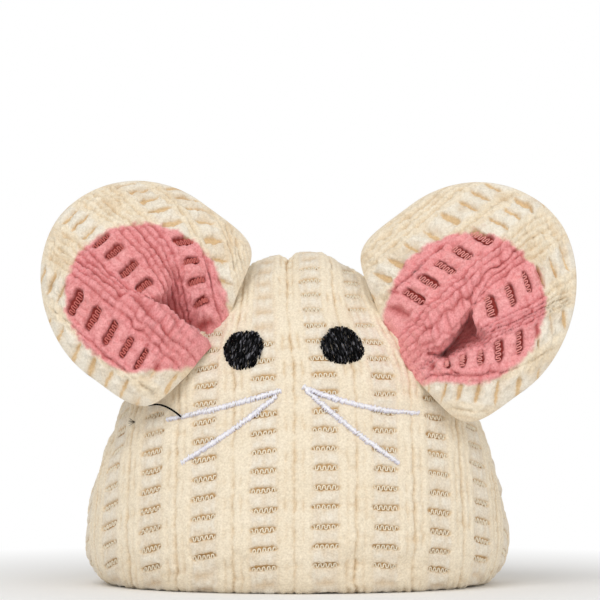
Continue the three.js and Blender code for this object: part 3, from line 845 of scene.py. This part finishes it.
def thread_ends(material):
    """A cut end of black thread beside the left upper whisker, and a few frayed fibres further left."""
    places, _ = along_stops(LOOSE_STOPS, 0.4)
    point, out = face_point(places[:, 0], places[:, 1])
    rise = 0.9 + 0.5 * np.sin(np.linspace(0, np.pi, len(places)))
    loose = tubes((point + out * rise[:, None])[None], out[None], LOOSE_RADIUS)
    dress(make_mesh("loose_thread_end", *loose, material))
    way = np.radians(FRAYED_WAYS)[:, None]
    part = np.linspace(0, 1, 6)
    x = FRAYED_PLACE[0] + FRAYED_LENGTH * part * np.cos(way)
    z = FRAYED_PLACE[1] + FRAYED_LENGTH * part * np.sin(way)
    point, out = face_point(x, z)
    frayed = tubes(point + out * (0.7 + 0.2 * part)[:, None], out, FRAYED_RADIUS, sides=4)
    dress(make_mesh("frayed_thread_end", *frayed, material))


# Ears


def ear_rim():
    """Points of the ear's outline, all the way round."""
    angle = np.linspace(0, 2 * np.pi, EAR_RIM_POINTS, endpoint=False)
    upper = np.sin(angle) > 0
    power = 2 / np.where(upper, EAR_TIP_BLUNT, EAR_ROOT_BLUNT)
    tall = np.where(upper, EAR_TALL - EAR_WAIST, EAR_WAIST)
    y = EAR_WAIST + tall * np.sign(np.sin(angle)) * np.abs(np.sin(angle)) ** power
    across = EAR_WIDTH / 2 * np.sign(np.cos(angle)) * np.abs(np.cos(angle)) ** power
    return np.stack([EAR_OFFSET + EAR_SLANT * y / EAR_TALL + across, y], -1)


EAR_MIDDLE = np.array([EAR_OFFSET + EAR_SLANT * EAR_WAIST / EAR_TALL, EAR_WAIST])
EAR_RIM = ear_rim()


def ear_share(x, y):
    """Share of the way from the ear's middle to its rim."""
    rim = EAR_RIM - EAR_MIDDLE
    at = np.arctan2(rim[:, 1], rim[:, 0])
    order = np.argsort(at)
    x = x - EAR_MIDDLE[0]
    y = y - EAR_MIDDLE[1]
    reach = np.interp(np.arctan2(y, x), at[order], np.hypot(*rim[order].T), period=2 * np.pi)
    return np.clip(np.hypot(x, y) / reach, 0, 1)


def ear_axes(ear):
    """The ear's root on the head, and the ways up along it, out to its tip and out of its front."""
    joint = JOINTS[ear["name"] + "_fold"]
    along = np.array(joint["axis"], float)
    turn, tilt = math.radians(ear["turn"]), math.radians(ear["tilt"])
    out = np.array([
        -ear["side"] * math.sin(turn) * math.cos(tilt),
        -math.cos(turn) * math.cos(tilt),
        math.sin(tilt),
    ])
    return np.array(joint["pos_m"], float) / MM, -ear["side"] * along, np.cross(out, along), out


def ear_root(ear):
    """The ear's body, and the points between which its cloth goes over from the head to the ear."""
    root, _, tip, _ = ear_axes(ear)
    return ear["name"], tuple((root - tip) * MM), tuple((root + EAR_BENDS_TO * tip) * MM)


def beside_pleat(ear, x, y):
    """Distance from the pleat's fold, which is positive on the side where the pocket opens."""
    start, lean = ear["fold"]
    return ear["opens"] * (x - start - lean * y)


def ear_pocket(ear, x, y):
    """Depth from 0 to 1 in the pocket beside the pleat, which widens from the root to a steep end."""
    root, end, spread = ear["pocket"]
    beside = beside_pleat(ear, x, y)
    wide = np.maximum(spread * (y - root), 0.3)
    across = smooth(beside, 0.1, 1.5) * smooth(beside, wide + 5.0, 0.4 * wide)
    return across * smooth(y, root, root + 4) * smooth(y, end, end - 2.5)


def ear_surface(ear, x, y, front):
    """A point of the ear's smooth front or back, in the frame of ear_axes."""
    root, end, spread = ear["pocket"]
    fade = np.clip(1 - y / EAR_TALL, 0, 1)
    share = ear_share(x, y)
    cup = EAR_CUP * (1 - bump(x, EAR_CUP_WIDTH) * bump(y, EAR_CUP_TALL))
    middle = cup - EAR_WRAP * (x / (EAR_WIDTH / 2)) ** 2 * fade
    puff = EAR_PUFF * (1 - share**3.2) ** 0.6
    beside = beside_pleat(ear, x, y)
    pocket = ear_pocket(ear, x, y)
    ridge = bump(beside + 2.4, RIDGE_WIDTH) * fade**0.7
    sewn = smooth(y, 4, -1) * bump(x, 13)
    lip = LIP * bump(beside + 0.3, 1.6) * smooth(y, root, root + 4) * smooth(y, end + 6, end)
    brow = 0.6 * LIP * bump(y - end - 0.4, 1.5) * bump(beside - 0.5 * spread * (end - root), 3.0)
    shaped = 1 if front else smooth(share, 0.75, 1)  # the back meets the pleated front at the rim
    z = middle + (puff if front else -puff) + shaped * (RIDGE * ridge - POCKET_DEPTH * pocket)
    z = z - (1 - shaped) * 1.5 * pocket
    trim = ear["trim"] * smooth(share, 0.7, 1)
    x = x - trim * (x - EAR_MIDDLE[0]) + shaped * ear["opens"] * lip
    y = y - trim * (y - EAR_MIDDLE[1]) * smooth(y, 0, 12) - shaped * brow
    return np.stack([x, y - EAR_TUCK * sewn, z - 1.5 * sewn], -1)


def ear_world(ear, local):
    root, up, tip, out = ear_axes(ear)
    return root + local[..., :1] * up + local[..., 1:2] * tip + local[..., 2:] * out


def ear_normal(ear, x, y, front):
    step = 0.12
    along_x = ear_surface(ear, x + step, y, front) - ear_surface(ear, x - step, y, front)
    along_y = ear_surface(ear, x, y + step, front) - ear_surface(ear, x, y - step, front)
    normal = unit(np.cross(along_x, along_y))
    return normal if front else -normal


def swallowed(ear, x, y):
    """Cloth that lies hidden in the pleat between its fold and a place beside it."""
    beside = beside_pleat(ear, x, y)
    fade = np.exp(-((np.maximum(y, 0) / PLEAT_REACH) ** 1.3))
    in_fold = PLEAT_TAKE_UP * fade * smooth(beside, -0.4, 4.0)
    wall = 0.45 * y - 1
    return in_fold + ear["cavity"] * smooth(beside, wall, wall + 6)


def round_pleat(ear, x, y):
    """How much further along the cloth a place lies: courses curve round the pleat's root, or are turned."""
    beside = beside_pleat(ear, x, y)
    turned, middle = ear["turned"]
    before = -turned * (beside + middle) * smooth(beside, 0, -0.6 * middle)
    return np.hypot(np.maximum(beside, 0), y + EAR_COURSE_CENTRE) - (y + EAR_COURSE_CENTRE) + before


def skip_ribs(ear, ladder):
    """Ladder numbers on the cloth, where a fold behind the rim hides ribs beyond the outermost ladders."""
    rib = (REPEAT - EAR_CLOTH["ladder"]) / EAR_CLOTH["ribs"]
    shown = (EAR_CLOTH["ladder"] / 2 + rib) / REPEAT
    for way, number in zip((-1, 1), ear["outer"]):
        ladder = ladder + way * HIDDEN_RIBS * rib / REPEAT * (way * (ladder - number) > shown)
    return ladder


def ear_pattern(ear, x, y):
    """Where a place on the ear lies on its cloth."""
    across = x - EAR_COLUMN_SLANT * (y - EAR_WAIST) + ear["opens"] * swallowed(ear, x, y) - ear["column"]
    climb = np.maximum(y, -2) + round_pleat(ear, x, y)
    course = np.interp(climb, EAR_CLIMB, EAR_COURSES) + ear["start"]
    return (skip_ribs(ear, across / EAR_REPEAT) + 0.5) * REPEAT, course * COURSE


def ear_place(ear, across, along):
    """Where a place on the ear's cloth lies on the ear, if the pleat doesn't hide it."""
    climb = np.interp(along / COURSE - ear["start"], EAR_COURSES, EAR_CLIMB)
    flat = (across - REPEAT / 2) * EAR_REPEAT / REPEAT + ear["column"]
    x, y = flat, climb
    for _ in range(80):
        lean = EAR_COLUMN_SLANT * (y - EAR_WAIST)
        x = 0.5 * x + 0.5 * (flat + lean - ear["opens"] * swallowed(ear, x, y))
        y = 0.5 * y + 0.5 * (climb - round_pleat(ear, x, y))
    return x, y


def from_pink(x, y):
    return np.hypot(x - PINK_X, y - PINK_Y)


def gap_shows(ear, column, course):
    """Whether the gap in a ladder and course lies open in the pink and clear of the pleat."""
    x, y = ear_place(ear, *gap_row(EAR_CLOTH, column, course))
    in_pink = from_pink(x[2], y[2]) < PINK_RADIUS - 0.8
    clear = ear_pocket(ear, x, y).max() < 0.4 and np.abs(beside_pleat(ear, x, y)).min() > 0.8
    return in_pink and clear and y.min() > 2.5


def ear_gaps(ear):
    """The ladder and course of each gap that shows."""
    return [(i, j) for i in range(-4, 4) for j in range(-1, 11) if gap_shows(ear, i, j)]


def ear_grid(grid):
    """Places on the ear in rings, the rim last, as x, y and their share of the way to the rim."""
    rows, columns = grid
    rim = np.concatenate([EAR_RIM, EAR_RIM[:1]])
    run = run_along(rim)
    rim = at_lengths(rim, run, np.linspace(0, run[-1], columns, endpoint=False))
    share = 1 - (1 - np.linspace(0, 1, rows)) ** 1.25
    place = EAR_MIDDLE + share[:, None, None] * (rim - EAR_MIDDLE)
    return place[..., 0], place[..., 1], np.broadcast_to(share[:, None], (rows, columns))


def pink_share(x, y, seed):
    near = from_pink(x, y) + 0.5 * noise(x, y, 2.2, seed) + 0.35 * noise(x, y, 0.9, seed + 1)
    return smooth(near, PINK_RADIUS + 0.5, PINK_RADIUS - 0.7)


def ear_panel(ear, front):
    """Points, faces, cloth values, normals and distances from the pink's middle of an ear's front or back."""
    grid = EAR_GRIDS["front" if front else "back"]
    seed = (80 if front else 90) + ear["seed"]
    x, y, share = ear_grid(grid)
    across, along = ear_pattern(ear, x, y) if front else (x * REPEAT / EAR_REPEAT, y)
    pink = front * pink_share(x, y, seed)
    deep = front * ear_pocket(ear, x, y)
    in_rim = from_pink(x, y) > PINK_RADIUS
    opening = np.where(in_rim, np.clip(0.6 + 0.5 * noise(x, y, 5.0, seed + 3), 0, 1.2), 0)
    open_gaps(opening, across, along, ear_gaps(ear) if front else (), 1.3)
    pile = {
        "tufts": ear["tufts"] * (0.5 + 0.5 * pink), "filled": ear["filled"],
        "nap": EAR_CLOTH["nap"] * (2 - pink),
    }
    relief, cloth = knit(across, along, {**EAR_CLOTH, **pile}, opening, seed)
    # Random tan patches in the cream, in the groove colour.
    tan_patches = 0.35 * np.clip(noise(x, y, 3.0, seed + 4), 0, 1) * (1 - pink)
    # Painted shade in the grooves, less in the cream, plus each ear's extra painted shade and the tan
    # patches.
    groove_shade = cloth["groove_shade"] * (0.4 + 0.6 * pink) + ear["extra_groove_shade"] * pink + tan_patches
    # Painted shade: the holes take the dark gap colour, a little less in the cream, and the deep pocket
    # beside the pleat takes it too.
    gap = np.maximum(cloth["gap"] * (0.8 + 0.2 * pink), 0.6 * smooth(deep, 0.3, 1.0))
    cloth = {**cloth, "groove_shade": np.clip(groove_shade, 0, 1), "gap": gap, "pink": pink}
    wave = 0.35 * noise(x, y, 9.0, seed + 2)
    relief = ((0.95 + 0.35 * pink) * relief * (1 - 0.7 * deep) + wave) * smooth(share, 1.0, 0.9)
    local = ear_surface(ear, x, y, front) + ear_normal(ear, x, y, front) * relief[..., None]
    points = ear_world(ear, local).reshape(-1, 3)
    faces = grid_faces(*grid, poles=(0,))
    normals = point_normals(points, faces)
    if (normals.mean(0) @ ear_axes(ear)[3] > 0) != front:
        faces = faces[:, ::-1]
        normals = -normals
    return points, faces, cloth, normals, from_pink(x, y).ravel()


def ear_cloth(ear, material):
    """The ear's rim, its pink middle, which is a piece of its own, and its back."""
    for front, parts in ((True, ("front", "inner")), (False, ("back",))):
        points, faces, cloth, normals, away = ear_panel(ear, front)
        in_middle = front & (away[faces].max(1) < PINK_RADIUS)
        for part in parts:
            chosen = faces[in_middle if part == "inner" else ~in_middle]
            node = f"{ear['name']}_{part}"
            piece = make_mesh(f"{node}_knit", points, chosen, material, cloth, normals)
            dress(piece, node, bends=ear_root(ear))


def ear_pad(ear, material):
    """The thin pad between the ear's two panels, which follows the pleat."""
    rows, columns = EAR_PAD_GRID
    x, y, share = ear_grid((rows // 2, columns))
    x = EAR_MIDDLE[0] + PAD_SHRINK * (x - EAR_MIDDLE[0])
    y = EAR_MIDDLE[1] + PAD_SHRINK * (y - EAR_MIDDLE[1])
    back = ear_surface(ear, x, y, False)
    room = ear_surface(ear, x, y, True) - back
    half = (0.14 * np.sqrt(1 - share**2) + 0.05 * noise(x, y, 4.0, 120))[..., None]
    local = np.concatenate([back + room * (0.36 + half), (back + room * (0.36 - half))[::-1]])
    piece = make_mesh(f"{ear['name']}_pad", ear_world(ear, local), grid_faces(rows, columns), material)
    dress(piece, f"{ear['name']}_wadding", bends=ear_root(ear))


def ear_lace(ear, material):
    """Ground threads in the gaps of the ear's front."""
    def place(across, along):
        x, y = ear_place(ear, across, along)
        local = ear_surface(ear, x, y, True)
        point = ear_world(ear, local)
        return point, ear_world(ear, local + ear_normal(ear, x, y, True)) - point

    name = f"{ear['name']}_lace"
    lace(name, place, ear_gaps(ear), EAR_CLOTH, 21, material, ear_root(ear))


# Tail


def tail_line(t):
    """The tail's middle line and its radius, at shares of its length."""
    radius = (TAIL_ROOT + (TAIL_TIP - TAIL_ROOT) * t) / 2
    sweep = TAIL_LENGTH / TAIL_BEND
    x = sweep * (1 - np.cos(TAIL_BEND * t))
    y = TAIL_START + sweep * np.sin(TAIL_BEND * t)
    z = radius + (TAIL_HEIGHT - TAIL_ROOT / 2) * (1 - smooth(t, 0, TAIL_LANDS))
    return np.stack([x, y, z], -1), radius


def tail_point(t, turn):
    """A point on the tail's smooth cloth, the way out there, and how full its end is there, from 0 to 1."""
    step = 1e-3
    point, radius = tail_line(t)
    ahead = unit(tail_line(t + step)[0] - tail_line(t - step)[0])
    beside = unit(np.stack([ahead[..., 1], -ahead[..., 0], np.zeros(t.shape)], -1))
    out = np.cos(turn)[..., None] * beside + np.sin(turn)[..., None] * np.cross(beside, ahead)
    to_tip = np.clip((1 - t) * TAIL_LENGTH / radius, 0, 1)
    at_root = smooth(t, 0.05, 0)
    point = point + out * (radius * (1 + 0.16 * at_root) * np.sqrt(1 - (1 - to_tip) ** 2))[..., None]
    facing = np.pi - face_angle(point[..., 0], point[..., 2])
    sewn_to = body_point(facing, point[..., 2])[..., 1] - TAIL_SINK
    point[..., 1] += at_root * (sewn_to - point[..., 1])
    return point, out, to_tip


def tail_root():
    """The tail's body, and the points between which its cloth goes over to it."""
    pivot = np.array(JOINTS["tail_swing"]["pos_m"])
    before, behind = TAIL_BENDS
    return "tail", tuple(pivot - (0, before, 0)), tuple(pivot + (0, behind, 0))


def tail(material):
    rows, columns = TAIL_GRID
    share = (1 - np.cos(np.linspace(0, np.pi, rows))) / 2
    t, turn = np.meshgrid(share, turns(columns), indexing="ij")
    point, out, to_tip = tail_point(t, turn)
    opening = np.where((turn < np.pi) & (t * TAIL_LENGTH < TAIL_COURSES * COURSE), 1.0, 0.0)
    relief, cloth = knit(turn / np.pi * REPEAT, t * TAIL_LENGTH, BODY_CLOTH, opening, seed=100)
    relief = relief * smooth(to_tip, 0, 0.8) * 0.8
    points = point + out * (relief * (to_tip > 0))[..., None]
    points[..., 2] = np.maximum(points[..., 2], ON_FLOOR)
    piece = make_mesh("tail_knit", points, grid_faces(rows, columns), material, cloth)
    dress(piece, "tail_cover", bends=tail_root())


def tail_lace(material):
    """Ground threads in the gaps along the tail's top."""
    def place(across, along):
        point, out, _ = tail_point(along / TAIL_LENGTH, across / REPEAT * np.pi)
        return point, out

    gaps = [(0, course) for course in range(TAIL_COURSES)]
    lace("tail_lace", place, gaps, BODY_CLOTH, 22, material, bends=tail_root())


# Seams


def seam(name, paths, ups, material, bends=None):
    piece = make_mesh(f"{name}_stitches", *tubes(paths, ups, SEAM_THREAD), material)
    dress(piece, f"{name}_thread", bends=bends)


def side_seam(material):
    """Stitches across the valley between the face and back panels, up both sides."""
    over = np.linspace(-SIDE_SEAM_HALF, SIDE_SEAM_HALF, 7)[None, :]
    z = np.interp(np.arange(3, CLIMB[-1] - 4, SEAM_STITCH), CLIMB, CLIMB_Z)[:, None]
    depth = -0.95 + 0.2 * np.cos(np.pi / 2 * over / SIDE_SEAM_HALF)
    paths, ups = [], []
    for middle in (-np.pi / 2, np.pi / 2):
        angle = middle + over / (BODY_DEPTH / 2 * body_share(z))
        height = z + 0.2 * over
        normal = body_normal(angle, height)
        paths.append(body_point(angle, height) + normal * depth[..., None])
        ups.append(normal)
    seam("side_seam", np.concatenate(paths), np.concatenate(ups), material)


def base_seam(material):
    """Stitches across the channel round the base panel."""
    over = np.linspace(-BASE_SEAM_HALF, BASE_SEAM_HALF, 7)[None, :]
    count = round(np.pi * BASE_WIDTH * (1 + DEPTH_SHARE) / 2 / SEAM_STITCH)
    turn = turns(count)[:, None] + over * 0.006
    reach = BASE_WIDTH / 2 + 0.5 + over
    z = np.broadcast_to(0.5 + 0.2 * np.cos(np.pi / 2 * over / BASE_SEAM_HALF), turn.shape)
    paths = np.stack([reach * np.sin(turn), -reach * DEPTH_SHARE * np.cos(turn), z], -1)
    seam("base_seam", paths, np.broadcast_to((0.0, 0.0, 1.0), paths.shape), material)


def ear_seam(ear, material):
    """Running stitches between the ear's two panels, just inside its rim."""
    stops = np.arange(*EAR_STITCHES)[:, None] + np.linspace(0, 32, 6)[None, :]
    rim = EAR_RIM[stops.astype(int) % EAR_RIM_POINTS]
    place = EAR_MIDDLE + 0.9 * (rim - EAR_MIDDLE)
    sheets = [ear_surface(ear, place[..., 0], place[..., 1], front) for front in (True, False)]
    paths = ear_world(ear, (sheets[0] + sheets[1]) / 2)
    ups = np.broadcast_to(ear_axes(ear)[3], paths.shape)
    seam(f"{ear['name']}_seam", paths, ups, material, ear_root(ear))


# Inside


def roughened(name, node, body, cell, depth, material):
    """A soft solid's own form in finer cells, its surface worked inwards into tufts, folds or crumbs."""
    piece = add_object(name, NODES[node].data.copy())
    finer = piece.modifiers.new("finer", "REMESH")
    finer.mode = "VOXEL"
    finer.voxel_size = cell * MM
    mesh = bpy.data.meshes.new_from_object(piece.evaluated_get(bpy.context.evaluated_depsgraph_get()))
    piece.modifiers.clear()
    piece.data = mesh
    points = read_vectors(mesh.vertices, "co")
    normals = read_vectors(mesh.vertex_normals, "vector")
    x, y, z = points.T / MM
    tuft = noise(x + 0.7 * z, y - 0.6 * z, 5 * cell, 130) + 0.6 * noise(x - y, z + 0.5 * y, 2.5 * cell, 131)
    inward = depth * MM * (0.5 + 0.3 * tuft)
    mesh.vertices.foreach_set("co", (points - normals * inward[:, None]).astype(np.float32).ravel())
    mesh.polygons.foreach_set("use_smooth", np.ones(len(mesh.polygons), bool))
    mesh.materials.clear()
    mesh.materials.append(material)
    mesh.update()
    dress(piece, node, rides=body)


def catnip_bits(material):
    """Rolled scraps of leaf and stem at the surface of the catnip."""
    rng = np.random.default_rng(140)
    low, high = (np.array(corner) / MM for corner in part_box("catnip_herb"))
    out = unit(rng.normal(size=(LEAF_BITS, 1, 3)))
    run = unit(np.cross(out, rng.normal(size=(LEAF_BITS, 1, 3))))
    length = rng.uniform(*LEAF_LENGTHS, (LEAF_BITS, 1, 1))
    stops = np.linspace(-1, 1, 6)[None, :, None]
    middle = (low + high) / 2 + out * ((high - low) / 2 - LEAF_INSET)
    paths = middle + run * length * stops - out * 0.3 * length * stops**2
    bits = tubes(paths, np.broadcast_to(out, paths.shape), LEAF_RADIUS, sides=5)
    dress(make_mesh("catnip_bits", *bits, material))


# Materials


def linear(colour):
    """A colour of 0 to 255 in the picture's own values, as the light that it stands for."""
    share = np.array(colour) / 255
    return (*np.where(share <= 0.04045, share / 12.92, ((share + 0.055) / 1.055) ** 2.4).tolist(), 1.0)


def material_nodes(name):
    material = bpy.data.materials.new(name)
    material.use_nodes = True
    tree = material.node_tree
    return material, tree, tree.nodes["Principled BSDF"]


def fill_inputs(tree, node, inputs):
    """Sets a node's inputs: a socket is linked, and a plain value is written."""
    for key, value in inputs.items():
        if isinstance(value, bpy.types.NodeSocket):
            tree.links.new(value, node.inputs[key])
        else:
            node.inputs[key].default_value = value


def add(tree, kind, inputs=None, **settings):
    node = tree.nodes.new("ShaderNode" + kind)
    for key, value in settings.items():
        setattr(node, key, value)
    fill_inputs(tree, node, inputs or {})
    return node


def ramp(tree, source, colours):
    """A dark and a bright colour, which follow a source's low and high values."""
    node = add(tree, "ValToRGB", {"Fac": source})
    for element, place, colour in zip(node.color_ramp.elements, SHADE_STOPS, colours):
        element.position = place
        element.color = (*colour[:3], 1)
    return node.outputs["Color"]


def mix(tree, factor, first, second, blend="MIX"):
    inputs = {0: factor, 6: first, 7: second}
    return add(tree, "Mix", inputs, data_type="RGBA", blend_type=blend).outputs[2]


def attribute(tree, key):
    return add(tree, "Attribute", attribute_name=key).outputs["Fac"]


def noise_socket(tree, scale, detail=2.0):
    place = add(tree, "TexCoord").outputs["Object"]
    return add(tree, "TexNoise", {"Vector": place, "Scale": scale, "Detail": detail}).outputs["Fac"]


def fine_bump(tree, height, strength, distance):
    inputs = {"Height": height, "Strength": strength, "Distance": distance}
    return add(tree, "Bump", inputs).outputs["Normal"]


def knit_material():
    """Chenille pile: warm on ribs, pale on rungs, tan painted shade in grooves and gaps, and dyed pink in the
    ears.
    """
    material, tree, shader = material_nodes("chenille_knit")
    looks = []
    for colours in (CREAM, PINK):
        look = linear(colours["rib"])
        for key in ("rung", "groove_shade", "gap"):
            # The groove and gap colours mixed in here are painted shade.
            look = mix(tree, attribute(tree, key), look, linear(colours[key]))
        looks.append(look)
    pink = attribute(tree, "pink")
    fibre = noise_socket(tree, 2200, 3)
    tuft = mix(tree, pink, ramp(tree, fibre, CREAM_FIBRE), ramp(tree, fibre, PINK_FIBRE))
    colour = mix(tree, 1.0, mix(tree, pink, *looks), tuft, "MULTIPLY")
    colour = mix(tree, 1.0, colour, ramp(tree, noise_socket(tree, 120), PATCHES), "MULTIPLY")
    fill_inputs(tree, shader, {
        "Base Color": colour, "Roughness": 0.95, "Specular IOR Level": 0.15,
        "Sheen Weight": 0.25, "Sheen Roughness": 0.5,
        "Normal": fine_bump(tree, noise_socket(tree, 2600, 3), 0.6, 0.0004),
    })
    return material


def thread_material(name, dark, bright, roughness, shine):
    """Twisted satin thread: fine light and dark strands, over a painted highlight that differs from stitch to
    stitch and painted shade at the stitches' ends.
    """
    material, tree, shader = material_nodes(name)
    strand = noise_socket(tree, 2600, 2)
    stitch = mix(tree, attribute(tree, "painted_light"), linear(dark), linear(bright))
    fill_inputs(tree, shader, {
        "Base Color": mix(tree, 1.0, stitch, ramp(tree, strand, STRANDS), "MULTIPLY"),
        "Roughness": roughness, "Specular IOR Level": shine,
        "Normal": fine_bump(tree, strand, 0.4, 0.0001),
    })
    return material


def fibre_material(name, dark, bright, scale):
    """Matt loose fibre, muslin or dried leaf, mottled at the given scale."""
    material, tree, shader = material_nodes(name)
    fleck = noise_socket(tree, scale, 4)
    fill_inputs(tree, shader, {
        "Base Color": ramp(tree, fleck, (linear(dark), linear(bright))), "Roughness": 0.95,
        "Normal": fine_bump(tree, fleck, 0.6, 0.0008),
    })
    return material


# Studio


def seen_rays(tree):
    """1 for rays that show the background itself: straight, mirrored or through glass."""
    path = add(tree, "LightPath")
    total = path.outputs["Is Camera Ray"]
    for kind in ("Is Glossy Ray", "Is Transmission Ray"):
        total = add(tree, "Math", {0: total, 1: path.outputs[kind]}, operation="MAXIMUM").outputs["Value"]
    return total


def show(tree, output, factor, plain, shown):
    """Sends a plain shader to the output, and the shown one in its place as far as factor says."""
    either = add(tree, "MixShader", {"Fac": factor, 1: plain.outputs[0], 2: shown.outputs[0]})
    fill_inputs(tree, tree.nodes[output], {"Surface": either.outputs["Shader"]})


def aimed(name, data, place, target):
    """A lamp or camera at a place, which looks at a target."""
    thing = add_object(name, data)
    thing.location = Vector(place) * MM
    thing.rotation_euler = (Vector(target) * MM - thing.location).to_track_quat("-Z", "Y").to_euler()
    return thing


def studio():
    """A white room: the world lights the toy evenly, one large soft lamp shapes it and another fills."""
    scene = bpy.context.scene
    scene.view_settings.view_transform = "Standard"
    scene.world = bpy.data.worlds.new("studio")
    scene.world.use_nodes = True
    tree = scene.world.node_tree
    light = tree.nodes["Background"]
    fill_inputs(tree, light, {"Color": WORLD_COLOUR, "Strength": WORLD_STRENGTH})
    white = add(tree, "Background", {"Color": (1, 1, 1, 1)})
    show(tree, "World Output", seen_rays(tree), light, white)
    for name, (place, power) in LAMPS.items():
        lamp = bpy.data.lights.new(name, "AREA")
        lamp.size = LAMP_SIZE
        lamp.energy = power
        aimed(name, lamp, place, LAMP_TARGET)


def floor():
    """White paper that takes the toy's shadow near it and fades to plain white further off."""
    material, tree, shader = material_nodes("floor_paper")
    fill_inputs(tree, shader, {"Base Color": FLOOR_COLOUR, "Roughness": 1.0, "Specular IOR Level": 0.0})
    place = add(tree, "TexCoord").outputs["Object"]
    away = add(tree, "VectorMath", {0: place}, operation="LENGTH").outputs["Value"]
    fade = add(tree, "MapRange", {"Value": away, "From Min": FLOOR_FADE[0], "From Max": FLOOR_FADE[1]})
    seen = add(tree, "Math", {0: fade.outputs["Result"], 1: seen_rays(tree)}, operation="MULTIPLY")
    show(tree, "Material Output", seen.outputs["Value"], shader, add(tree, "Emission"))
    corners = FLOOR_HALF * np.array([[-1, -1, 0], [1, -1, 0], [1, 1, 0], [-1, 1, 0]])
    make_mesh("floor", corners, np.array([[0, 1, 2, 3]]), material)


def camera():
    """The photograph's view: from the front, level with the toy's middle."""
    data = bpy.data.cameras.new("camera")
    data.lens = CAMERA_LENS
    data.sensor_width = 36.0
    data.clip_start = 0.01
    bpy.context.scene.camera = aimed("camera", data, CAMERA_PLACE, CAMERA_TARGET)


# Assembly

camera()
studio()
floor()
chenille = knit_material()
threads = {name: thread_material(name, *look) for name, look in THREADS.items()}
fibres = {name: fibre_material(name, *look) for name, look in FIBRES.items()}

for which in BODY_GRIDS:
    body_panel(which, chenille)
base_panel(chenille)
for which in BODY_GRIDS:
    body_lace(which, threads["ground_thread"])
for key in EYES:
    eye(key, threads["black_satin_thread"])
for key in WHISKERS:
    whisker(key, threads["white_satin_thread"])
thread_ends(threads["black_satin_thread"])
for ear in EARS:
    ear_cloth(ear, chenille)
    ear_lace(ear, threads[ear["lace"]])
    ear_pad(ear, fibres["fibre_fill"])
    ear_seam(ear, threads["sewing_thread"])
tail(chenille)
tail_lace(threads["ground_thread"])
side_seam(threads["sewing_thread"])
base_seam(threads["sewing_thread"])
for name, (node, body, cell, depth, slot) in INSIDE.items():
    roughened(name, node, body, cell, depth, fibres[slot])
catnip_bits(fibres["dried_herb"])
